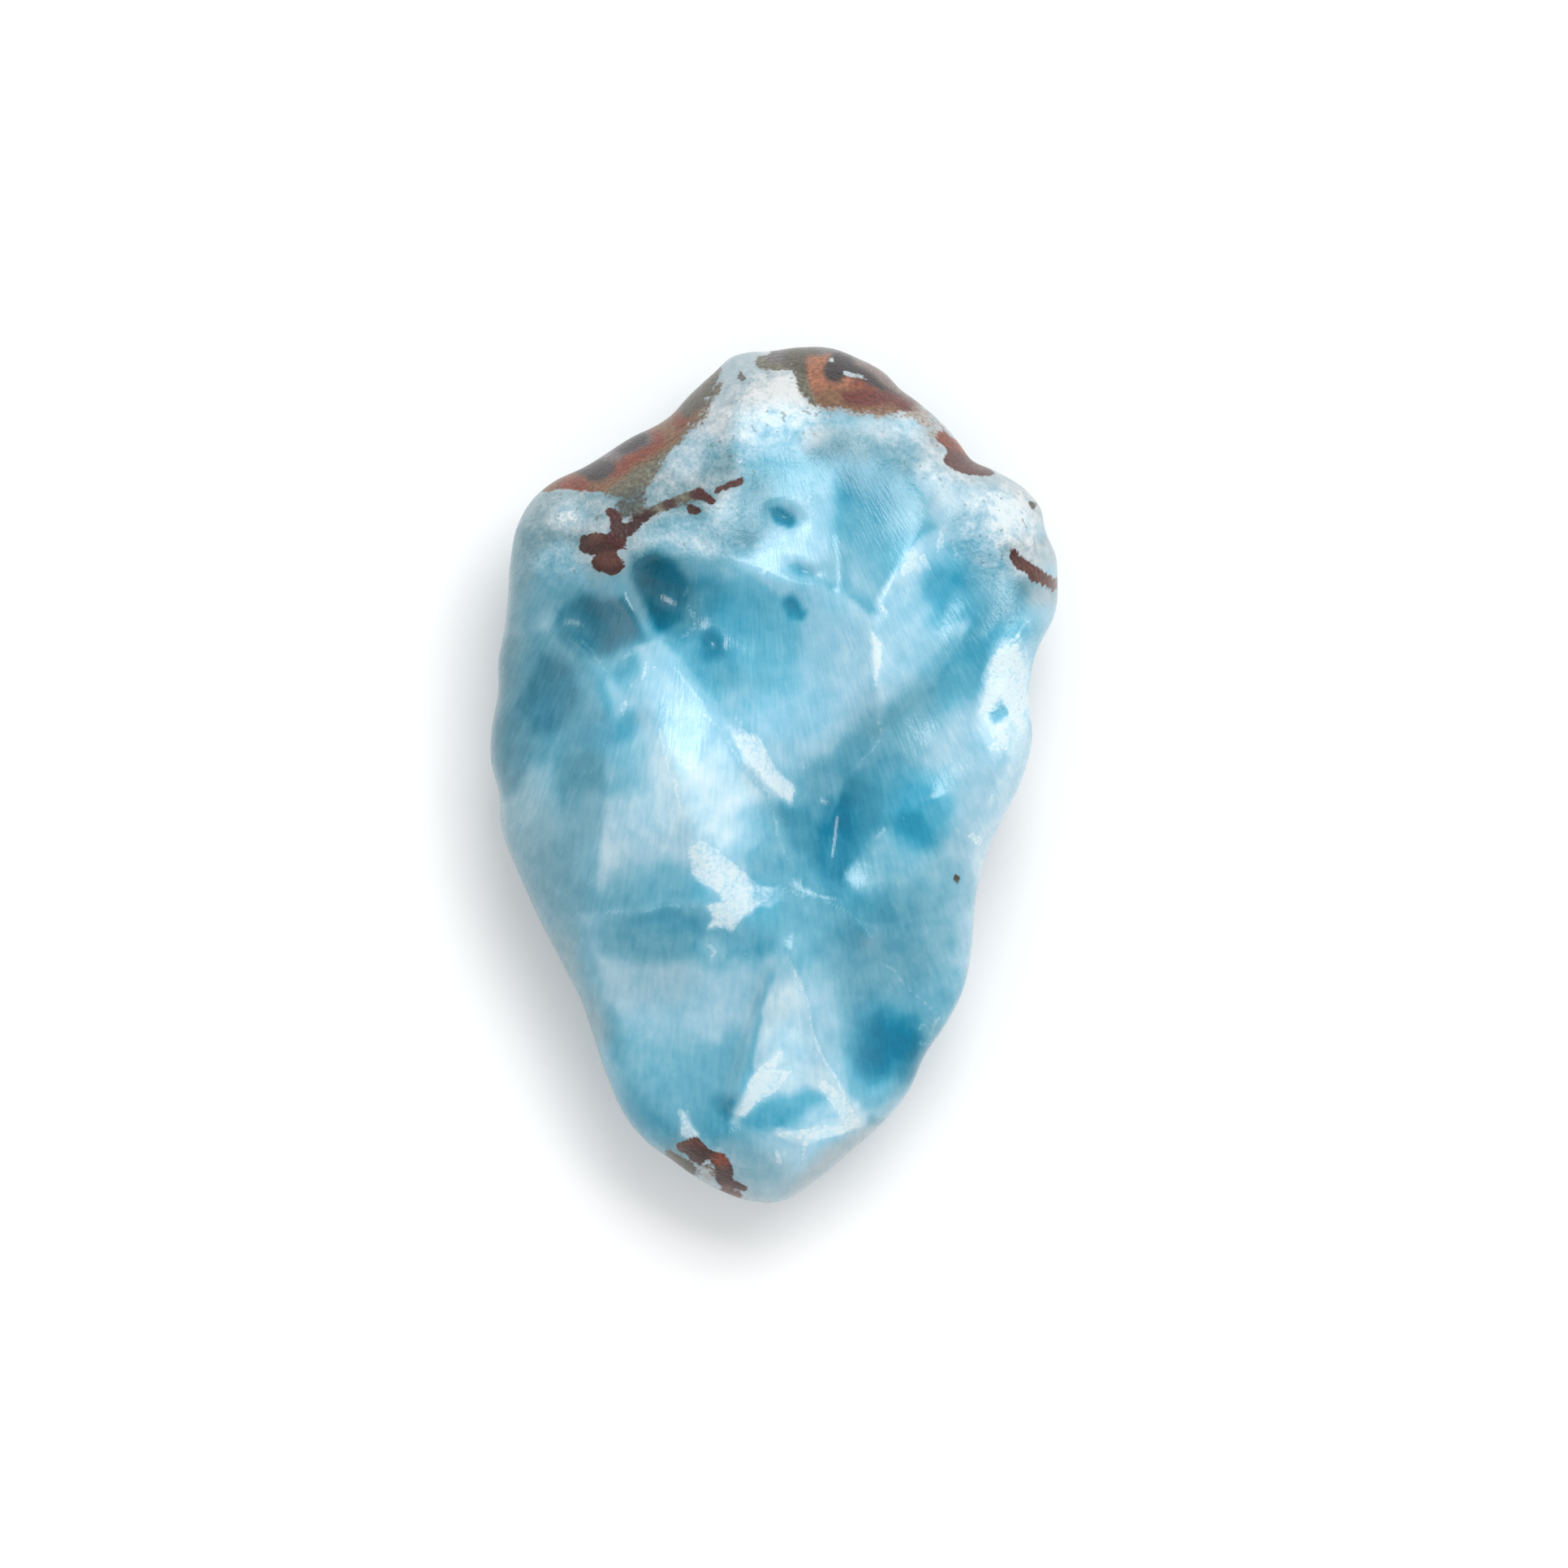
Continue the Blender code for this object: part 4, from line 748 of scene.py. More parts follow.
        (8.6, 19.6), (8.3, 17.6), (8.9, 16.0), (9.2, 14.8), (10.4, 13.6), (12.4, 13.2), (13.4, 12.4),
            (14.2, 11.2),
        (17.5, 10.2), (17.5, 15.0), (14.0, 19.0), (9.6, 22.0)], [
        (0.80, 0.9, 1.4, [(10.6, 16.6, 0.5), (12.4, 16.2, 0.6)]),
        # painted highlight, in part: a white spot on the right crust, where the lamp glints
        (0.87, 0.9, 1.2, [(13.2, 14.4, 0.5), (14.2, 15.4, 0.6)]),
        (0.60, 0.9, 1.0, [(10.4, 14.6, 0.3), (11.8, 14.4, 0.4)]),
        (0.66, 0.8, 1.0, [(11.4, 17.0, 0.3), (12.4, 17.1, 0.3)]),
        (0.60, 0.8, 1.0, [(12.8, 13.2, 0.3), (13.6, 12.6, 0.3)]),
    ]),
    ("window", 0.62, 0.5, [
        (8.1, 13.5), (6.9, 11.9), (5.9, 9.8), (6.4, 8.6), (9.0, 8.6), (12.2, 9.2), (13.8, 9.8),
            (13.6, 11.6),
        (12.8, 12.9), (10.8, 13.9), (9.6, 14.6), (9.2, 14.2)], [
        # painted highlight: the white wedge arm, where the lamp glints
        (0.84, 1.0, 0.9, [(8.1, 13.0, 0.2), (7.6, 12.1, 0.6), (7.1, 11.1, 0.4), (6.2, 9.7, 0.3)]),
        (0.76, 0.9, 1.2, [(7.6, 10.2, 0.6), (7.6, 9.0, 0.5)]),
        (0.72, 0.9, 1.0, [(9.4, 13.8, 0.3), (9.2, 13.0, 0.2)]),
        (0.40, 1.0, 1.2, [(9.4, 11.0, 0.4), (10.6, 10.4, 0.5), (10.8, 11.6, 0.5)]),
        (0.26, 0.9, 1.0, [(10.9, 11.0, 0.3), (11.1, 11.6, 0.3)]),
        (0.44, 0.9, 1.4, [(12.0, 10.6, 0.5), (11.0, 9.4, 0.4), (13.0, 9.6, 0.4)]),
        (0.52, 0.8, 1.4, [(12.0, 12.4, 0.5), (11.0, 12.8, 0.4)]),
    ]),
    ("right upper rim", 0.60, 0.7, [
        (13.8, 11.6), (13.2, 9.6), (14.2, 8.6), (17.5, 8.6), (17.5, 10.6), (16.4, 10.9), (15.0, 11.6)], [
        (0.38, 1.0, 1.2, [(13.6, 10.6, 0.4), (13.4, 9.4, 0.4)]),
        (0.40, 0.9, 0.8, [(14.6, 11.0, 0.3), (15.2, 10.9, 0.2)]),
        (0.72, 0.8, 0.8, [(15.6, 10.4, 0.3), (15.9, 9.6, 0.3)]),
    ]),
]
DETAILS = [
    # the first five strokes lay deep blue in five of the carved pits
    (0.22, 0.95, 0.35, [(-0.2, 15.3), (0.4, 15.5), (1.3, 15.0), (1.4, 14.6), (0.8, 14.35), (0.1, 14.6)]),
    (0.50, 0.95, 0.35, [(0.9, 12.2), (1.7, 12.1), (2.5, 11.6), (2.4, 11.4), (1.6, 11.5), (1.1, 11.9)]),
    (0.20, 0.90, 0.5, [(0.9, 10.1, 0.15), (1.2, 9.5, 0.2), (1.5, 9.3, 0.1)]),
    (0.22, 0.90, 0.7, [(-3.8, 8.0, 0.2), (-3.5, 7.3, 0.35), (-3.3, 7.1, 0.2)]),
    (0.42, 0.90, 0.4, [(12.6, 3.3), (13.2, 4.4), (13.4, 3.9), (13.5, 3.5), (13.0, 3.0)]),
    # painted highlight: the pale strip beside the hump ridge and its white lower end, where the lamp
    # glints
    (0.70, 0.85, 0.5, [(-6.7, 7.4, 0.25), (-5.2, 5.8, 0.3), (-4.0, 4.3, 0.3), (-3.0, 3.0, 0.3)]),
    (0.86, 1.00, 0.35, [(-2.9, 2.9), (-1.7, 2.3), (-0.9, 2.2), (-0.3, 1.2), (0.2, 0.3), (1.2, -0.7),
        (1.1, -1.7), (0.3, -1.2),
                       (-0.8, -0.1), (-1.9, 1.2)]),
    # painted shade: a thin darker line between the bright hump and the pale strip beside its ridge
    (0.70, 0.70, 0.25, [(-4.9, 4.6, 0.08), (-3.1, 2.3, 0.1), (-1.6, 0.4, 0.1), (-0.4, -0.8, 0.12)]),
    # painted highlight: the ragged white patch on the lower hump, where the lamp glints
    (0.84, 1.00, 0.35, [(-4.9, -3.9), (-3.8, -3.8), (-2.6, -4.8), (-1.4, -5.8), (-0.9, -6.4),
        (0.4, -6.5), (0.6, -7.3), (-0.6, -7.9),
                       (-1.5, -8.2), (-2.6, -9.2), (-3.2, -8.8), (-3.9, -8.9), (-3.5, -8.2),
                           (-4.0, -7.5), (-2.8, -7.2), (-3.2, -6.8),
                       (-3.6, -6.5), (-4.2, -6.2), (-4.8, -5.6)]),
    (0.60, 0.90, 0.5, [(-0.9, -6.9, 0.2), (0.3, -7.0, 0.2)]),
    (0.50, 0.90, 0.4, [(-0.5, -8.1, 0.3), (-1.8, -8.8, 0.3)]),
    (0.52, 0.80, 0.5, [(-1.3, -4.6, 0.2), (-0.9, -5.7, 0.2)]),
    (0.62, 0.80, 0.5, [(-3.8, -9.8, 0.3), (-3.5, -10.3, 0.35)]),
    # painted highlights: this small patch and the white ring round the lower wedge that follows, where
    # the lamp glints
    (0.80, 0.90, 0.3, [(-5.5, -19.4), (-5.1, -19.6), (-4.8, -20.4), (-4.3, -20.9), (-4.7, -21.2),
        (-5.4, -21.1), (-5.3, -20.2)]),
    (0.90, 0.95, 0.35, [(0.3, -16.2, 0.2), (-0.5, -17.0, 0.4), (-1.2, -18.2, 0.4), (-1.9, -19.6, 0.2)]),
    (0.86, 0.90, 0.4, [(0.6, -17.2, 0.3), (2.0, -17.2, 0.4), (3.4, -18.4, 0.4), (4.2, -19.6, 0.6),
        (4.6, -20.2, 0.5)]),
    (0.86, 0.95, 0.3, [(4.8, -20.4, 0.2), (3.4, -20.6, 0.4), (2.2, -20.9, 0.4), (1.4, -21.0, 0.3),
        (0.4, -20.9, 0.2)]),
    (0.60, 0.90, 0.4, [(4.9, -5.0), (5.9, -5.3), (6.2, -6.0), (5.4, -6.8), (4.6, -6.4), (4.3, -5.8)]),
    # painted highlight: the glint along the basin ridge
    (0.92, 1.00, 0.3, [(5.6, 8.3), (6.0, 8.0), (6.3, 7.4), (6.2, 6.3), (5.9, 5.1), (5.7, 5.9),
        (5.6, 7.2)]),
]
GREYNESS = [
    # painted reflection: grey along the left and lower rim, for the pale surroundings mirrored on the
    # steep flank
    (1.00, 1.0, 2.2, [(-15.2, 13.6, 0.8), (-15.7, 8.0, 0.9), (-15.8, 2.0, 0.7), (-15.4, -3.0, 0.9),
        (-13.2, -9.6, 0.7),
                      (-11.0, -14.4, 0.5), (-9.4, -19.0, 0.3), (-8.2, -21.4, 0.4), (-5.0, -23.4, 0.9),
                          (-1.0, -24.8, 0.9)]),
    (0.75, 0.9, 1.8, [(-13.4, 6.2, 0.6), (-14.2, 3.6, 0.5), (-14.2, 0.0, 0.6), (-13.8, -4.0, 0.8),
        (-12.2, -7.6, 0.9)]),
    (0.45, 0.9, 2.0, [(-12.4, 3.6, 0.6), (-12.4, 0.0, 0.5)]),
    (0.68, 0.9, 1.6, [(-11.0, 0.0, 0.5), (-11.2, -3.0, 0.7), (-11.2, -6.4, 0.7)]),
    (0.42, 0.9, 2.0, [(-9.6, -5.0, 0.5), (-9.4, -9.0, 0.8)]),
    (0.52, 0.9, 2.2, [(-9.4, -11.6, 0.8), (-6.6, -11.4, 0.8)]),
    (-0.12, 0.9, 2.2, [(-6.4, 6.0, 0.4), (-5.0, 3.6, 0.8), (-3.6, 0.2, 1.2), (-2.6, -3.0, 0.8)]),
    (0.00, 0.9, 1.6, [(-8.8, 4.6, 0.5), (-8.2, 2.0, 0.5), (-7.2, 0.6, 0.5), (-6.8, -2.2, 0.4)]),
    (0.00, 1.0, 2.0, [(-1.0, 11.4, 0.5), (0.0, 8.6, 2.2), (3.4, 7.4, 2.4), (1.6, 4.4, 1.4),
        (-0.8, 3.4, 0.4)]),
    (-0.02, 0.9, 1.8, [(7.6, 8.8, 1.0), (7.2, 5.8, 0.7)]),
    (-0.06, 0.9, 1.4, [(-3.6, -6.4, 0.5), (-0.8, -7.4, 0.7)]),
    # painted shade: greyer along the low side of the hump ridge, where the ridge shades it
    (0.38, 0.9, 0.9, [(-1.2, 0.2, 0.2), (0.6, -2.2, 0.3)]),
    (0.45, 0.9, 1.8, [(2.6, -2.2, 0.3), (3.0, -0.2, 0.6), (4.2, 1.0, 0.7), (6.6, 2.4, 0.7),
        (8.6, 4.6, 0.4)]),
    (0.40, 0.9, 1.6, [(7.4, 2.4, 0.4), (8.2, 1.2, 0.5)]),
    (0.05, 0.9, 1.6, [(4.0, -2.8, 0.4), (3.6, -5.0, 0.4)]),
    (-0.12, 0.9, 2.2, [(8.4, -2.8, 1.0), (8.8, -1.2, 0.4)]),
    (-0.10, 0.9, 1.8, [(13.8, 7.4, 0.6), (13.8, 4.4, 0.8), (13.0, 2.2, 0.4)]),
    (0.08, 0.8, 1.4, [(11.2, 6.4, 0.4), (10.8, 4.4, 0.5)]),
    (0.40, 0.9, 2.4, [(11.0, -4.8, 0.6), (10.8, -9.0, 0.8), (7.6, -9.0, 1.6), (5.0, -11.0, 1.0)]),
    (0.00, 0.9, 2.2, [(6.6, -15.6, 1.0), (5.4, -17.4, 0.6)]),
    (0.50, 0.9, 1.2, [(9.4, -15.2, 0.3), (8.2, -18.0, 0.4), (6.8, -20.2, 0.4)]),
    (0.20, 0.8, 2.4, [(-5.6, -16.0, 1.4), (-3.2, -17.4, 0.8)]),
    (0.28, 0.9, 1.6, [(-9.2, -16.6, 0.3), (-8.2, -19.0, 0.5), (-6.8, -20.6, 0.5)]),
    (0.36, 0.9, 1.2, [(0.4, -11.4, 0.3), (-0.2, -13.8, 0.4)]),
    (-0.05, 0.9, 1.4, [(0.9, -15.4, 0.5), (0.6, -17.0, 0.7)]),
    (-0.20, 0.9, 1.2, [(-1.0, -18.2, 0.5), (-0.6, -19.8, 0.5), (1.4, -19.4, 0.8), (3.0, -19.6, 0.4),
        (2.8, -20.9, 0.3)]),
    (0.65, 0.9, 1.6, [(-2.4, -22.4, 0.3), (-0.6, -23.4, 0.5), (0.8, -24.2, 0.4)]),
    (1.05, 1.0, 1.2, [(6.0, -21.4, 0.4), (3.6, -23.0, 0.6), (1.6, -24.8, 0.6)]),
    (0.72, 1.0, 2.0, [(-13.0, 9.4, 0.6), (-10.6, 8.8, 1.2), (-8.8, 9.4, 0.5)]),
    (0.90, 1.0, 1.6, [(-7.4, 12.4, 0.6), (-7.0, 10.8, 0.7)]),
    (0.62, 0.9, 1.4, [(-5.6, 11.2, 0.4), (-5.2, 9.4, 0.5)]),
    (1.10, 1.0, 1.6, [(-15.0, 12.8), (-12.0, 13.0), (-10.4, 11.0), (-8.6, 11.4), (-7.4, 14.0),
        (-4.0, 14.6), (-1.6, 16.8),
                      (-2.6, 19.0), (-2.0, 21.0), (1.0, 21.8), (3.0, 20.8), (9.0, 20.8), (6.0, 26.0),
                          (-4.0, 26.0), (-15.0, 18.0)]),
    (0.62, 0.9, 1.2, [(-12.6, 12.2, 0.6), (-12.0, 11.0, 0.3)]),
    (0.64, 0.8, 0.9, [(-12.0, 15.0, 0.4), (-11.4, 15.0, 0.3)]),
    (0.70, 0.8, 1.2, [(-5.4, 18.4, 0.5), (-4.2, 18.8, 0.4)]),
    (0.60, 0.9, 1.4, [(-6.0, 13.8, 0.4), (-3.0, 13.8, 0.5), (-1.6, 14.4, 0.5), (-1.2, 16.2, 0.4)]),
    (-0.12, 0.9, 1.4, [(0.2, 12.8, 0.5), (1.4, 13.0, 0.6), (3.2, 14.4, 0.6), (3.4, 16.0, 0.4)]),
    (0.02, 0.9, 1.6, [(0.2, 19.8, 0.6), (0.8, 18.4, 0.5), (1.6, 17.0, 0.4)]),
    (0.90, 0.9, 1.2, [(2.8, 19.2, 0.4), (4.8, 19.2, 0.4)]),
    (0.16, 0.9, 1.8, [(5.0, 16.4, 0.6), (6.0, 13.4, 0.8), (5.0, 11.6, 0.5)]),
    (0.75, 0.9, 1.4, [(6.0, 19.4, 0.4), (8.2, 18.2, 0.4)]),
    (1.05, 1.0, 1.6, [(9.6, 19.6, 0.5), (11.6, 17.8, 0.4), (14.2, 17.2, 0.4), (15.6, 15.6, 0.3)]),
    (0.50, 0.9, 1.4, [(9.8, 16.0, 0.5), (12.4, 15.4, 0.8), (14.2, 13.8, 0.6)]),
    (1.10, 0.9, 1.2, [(16.0, 13.0, 0.5), (14.2, 12.6, 0.5), (15.2, 10.9, 0.5), (16.4, 10.6, 0.3)]),
    (-0.15, 0.9, 1.8, [(8.0, 12.4, 0.5), (9.4, 11.6, 0.8), (8.0, 9.6, 0.6), (10.4, 9.6, 0.4)]),
    (0.42, 0.9, 1.2, [(12.8, 12.0, 0.4), (13.6, 10.2, 0.4)]),
]

# %% [markdown]
# Iron and manganese have stained the crust and seeped along old cracks. The ragged white
# patches are partly thin flakes that lifted and scatter the light white, and partly painted
# highlights where the lamps glint on the scars. Both keep to places read off the stone, so
# they are strokes too, and their ragged edges come later from the material.

# %% Stains, white chips and painted glints, and pale lines, in millimetres
# colours as the eye sees them, 0 to 255
STAIN_COLOURS = {
    "cream": (206, 198, 186), "olive": (128, 128, 108), "dark olive": (92, 90, 72),
    "ochre": (150, 106, 72), "orange": (188, 120, 84), "rust": (152, 72, 44), "red": (122, 46, 36),
    "maroon": (92, 36, 33), "brown": (112, 68, 58), "umber": (74, 38, 32), "black": (46, 43, 47),
    "smoke": (118, 114, 116), "grey brown": (140, 120, 112), "moss": (94, 108, 104),
}
STAINS = [
    ("olive", 0.8, 0.8, [
        (-10.2, 16.6), (-9.4, 17.6), (-7.4, 18.9), (-5.6, 20.0), (-4.2, 21.2), (-3.4, 22.9), (-3.0, 22.6),
        (-3.8, 20.8), (-5.2, 19.4), (-6.6, 18.2), (-7.2, 16.8), (-7.8, 15.7), (-9.6, 16.0)]),
    ("grey brown", 0.9, 0.5, [
        (-13.2, 17.0, 0.2), (-11.0, 18.2, 0.4), (-8.5, 19.7, 0.5), (-6.0, 21.1, 0.5),
            (-4.9, 22.2, 0.45), (-3.6, 23.5, 0.2)]),
    ("ochre", 1.0, 0.4, [
        (-12.9, 16.9, 0.12), (-11.6, 16.95, 0.3), (-10.4, 16.9, 0.4), (-9.6, 17.6, 0.35),
            (-8.6, 18.35, 0.28),
        (-7.4, 19.2, 0.28), (-6.2, 19.9, 0.25), (-5.3, 20.7, 0.2), (-4.5, 21.4, 0.12)]),
    ("rust", 0.9, 0.25, [(-9.3, 17.7, 0.08), (-8.4, 18.5, 0.16), (-7.5, 19.2, 0.18), (-6.9, 19.6, 0.06)]),
    ("rust", 0.8, 0.2, [(-11.9, 16.75, 0.06), (-11.3, 16.6, 0.1)]),
    ("rust", 0.8, 0.2, [(-5.4, 20.7, 0.12)]),
    ("black", 1.0, 0.25, [(-11.3, 17.7, 0.12), (-10.7, 17.75, 0.36), (-10.2, 17.8, 0.36),
        (-9.7, 17.9, 0.12)]),
    ("smoke", 0.9, 0.25, [(-9.2, 18.7, 0.08), (-8.4, 19.25, 0.26), (-7.7, 19.5, 0.1)]),
    ("black", 0.8, 0.25, [(-8.7, 19.0, 0.08), (-8.2, 19.25, 0.12), (-7.9, 19.4, 0.06)]),
    ("dark olive", 0.95, 0.35, [(-5.0, 21.4, 0.15), (-4.6, 21.8, 0.3), (-4.1, 22.4, 0.25),
        (-3.7, 23.2, 0.1)]),
    ("cream", 0.6, 0.7, [(2.4, 21.5, 0.2), (5.0, 21.3, 0.2), (8.4, 21.0, 0.2)]),
    ("olive", 0.85, 0.6, [(-0.6, 24.1, 0.2), (0.6, 24.1, 0.3), (1.5, 23.8, 0.25), (1.8, 22.8, 0.25),
        (2.3, 22.1, 0.15)]),
    ("smoke", 0.9, 0.4, [(0.2, 24.7, 0.2), (1.4, 24.7, 0.3), (3.2, 24.8, 0.3), (4.8, 24.4, 0.15)]),
    ("dark olive", 0.8, 0.5, [(1.3, 24.2, 0.25), (1.9, 24.1, 0.3)]),
    ("orange", 1.0, 0.35, [
        (2.0, 24.3), (3.2, 24.4), (3.3, 23.3), (4.2, 23.4), (5.5, 22.9), (6.8, 22.6), (8.3, 21.6),
            (8.1, 21.2),
        (6.0, 21.5), (4.5, 21.6), (3.0, 21.6), (2.3, 22.3), (2.1, 23.2)]),
    ("rust", 0.8, 0.4, [(5.2, 22.4, 0.15), (6.4, 22.45, 0.22), (7.4, 22.1, 0.2), (8.2, 21.7, 0.12)]),
    ("ochre", 0.7, 0.4, [(3.1, 21.8, 0.2), (5.0, 21.7, 0.25), (7.0, 21.5, 0.15)]),
    ("red", 0.9, 0.15, [(4.4, 21.9, 0.08), (5.4, 21.95, 0.1), (6.8, 21.9, 0.1), (8.0, 21.5, 0.07)]),
    ("black", 1.0, 0.2, [(3.7, 23.6, 0.4)]),
    ("black", 1.0, 0.2, [(3.9, 24.15, 0.2), (5.0, 23.9, 0.42), (5.8, 23.5, 0.42), (6.6, 23.05, 0.32),
        (7.3, 22.65, 0.12)]),
    ("grey brown", 0.9, 0.2, [(5.2, 24.25, 0.1), (6.4, 23.6, 0.16), (7.6, 22.7, 0.14),
        (8.4, 21.8, 0.14)]),
    ("cream", 0.5, 0.8, [(9.0, 20.6, 0.3), (9.5, 19.6, 0.3)]),
    ("orange", 1.0, 0.3, [(9.7, 19.5, 0.12), (10.2, 19.1, 0.25), (10.8, 18.9, 0.35), (11.3, 18.6, 0.2)]),
    ("rust", 0.8, 0.2, [(9.8, 19.4, 0.08), (10.4, 18.7, 0.1)]),
    ("maroon", 1.0, 0.15, [(10.1, 18.35, 0.1), (10.8, 18.15, 0.26), (11.6, 17.95, 0.25),
        (12.7, 17.75, 0.06)]),
    ("brown", 0.8, 0.1, [(10.3, 18.5, 0.04), (11.2, 18.2, 0.08), (12.0, 18.0, 0.03)]),
    ("maroon", 1.0, 0.15, [(14.0, 12.8, 0.16), (14.6, 12.3, 0.2), (15.4, 11.65, 0.24),
        (16.4, 11.0, 0.2)]),
    ("brown", 0.9, 0.1, [(14.15, 12.55, 0.04), (15.2, 11.85, 0.06), (16.2, 11.15, 0.05)]),
    ("moss", 0.7, 0.6, [(-8.6, 15.3, 0.25), (-7.8, 15.2, 0.25), (-7.7, 15.9, 0.1)]),
    ("olive", 0.8, 0.4, [(-7.2, 15.1, 0.1), (-6.0, 15.6, 0.14), (-4.4, 16.35, 0.16)]),
    ("brown", 1.0, 0.2, [(-10.95, 13.25, 0.2), (-10.4, 13.4, 0.42), (-9.8, 13.3, 0.35)]),
    ("umber", 0.9, 0.15, [(-11.1, 13.5, 0.06), (-11.1, 13.1, 0.1), (-10.6, 12.9, 0.1),
        (-10.1, 12.9, 0.1)]),
    ("maroon", 1.0, 0.2, [(-9.3, 13.5, 0.4), (-9.0, 14.2, 0.25), (-9.1, 14.7, 0.15),
        (-9.35, 15.05, 0.08)]),
    ("umber", 1.0, 0.2, [(-9.7, 12.7, 0.3), (-10.0, 12.1, 0.38), (-9.4, 12.15, 0.4), (-9.6, 11.75, 0.2)]),
    ("brown", 0.7, 0.2, [(-9.9, 12.4, 0.1), (-9.4, 12.5, 0.1)]),
    ("umber", 1.0, 0.2, [(-8.75, 14.1, 0.14), (-8.0, 14.4, 0.12), (-7.2, 15.0, 0.06)]),
    ("umber", 1.0, 0.2, [(-6.0, 15.6, 0.08)]),
    ("umber", 1.0, 0.2, [(-4.8, 15.35, 0.13), (-4.5, 15.2, 0.1)]),
    ("maroon", 1.0, 0.2, [(-4.4, 16.3, 0.1), (-4.0, 15.95, 0.09), (-3.6, 15.7, 0.11)]),
    ("maroon", 0.95, 0.2, [(-3.4, 16.5, 0.06), (-2.8, 16.85, 0.14), (-1.9, 17.15, 0.08)]),
    ("cream", 0.5, 0.5, [(-4.6, -22.9, 0.25), (-3.8, -23.3, 0.3)]),
    ("brown", 1.0, 0.2, [(-5.2, -21.8, 0.2), (-4.6, -21.5, 0.32), (-4.3, -22.1, 0.36),
        (-3.9, -22.2, 0.15)]),
    ("umber", 0.9, 0.2, [(-4.7, -22.1, 0.1), (-4.3, -22.5, 0.14), (-4.0, -22.2, 0.1)]),
    ("umber", 1.0, 0.2, [(-3.35, -22.5, 0.26), (-3.1, -23.0, 0.3), (-2.95, -23.5, 0.36),
        (-2.7, -23.9, 0.2)]),
    ("rust", 0.6, 0.2, [(-3.3, -22.5, 0.1)]),
    ("umber", 1.0, 0.15, [(-2.2, -24.1, 0.1), (-1.8, -24.3, 0.08)]),
    ("brown", 0.9, 0.2, [(-2.9, -24.4, 0.12), (-2.1, -24.8, 0.1)]),
    ("dark olive", 0.8, 0.2, [(-6.2, -22.2, 0.1), (-5.5, -22.45, 0.12), (-4.7, -23.2, 0.1)]),
    ("smoke", 0.9, 0.12, [(-1.85, 23.15, 0.1)]),
    ("dark olive", 0.9, 0.12, [(15.2, 15.7, 0.12)]),
    ("dark olive", 0.9, 0.1, [(10.6, -6.1, 0.08)]),
]
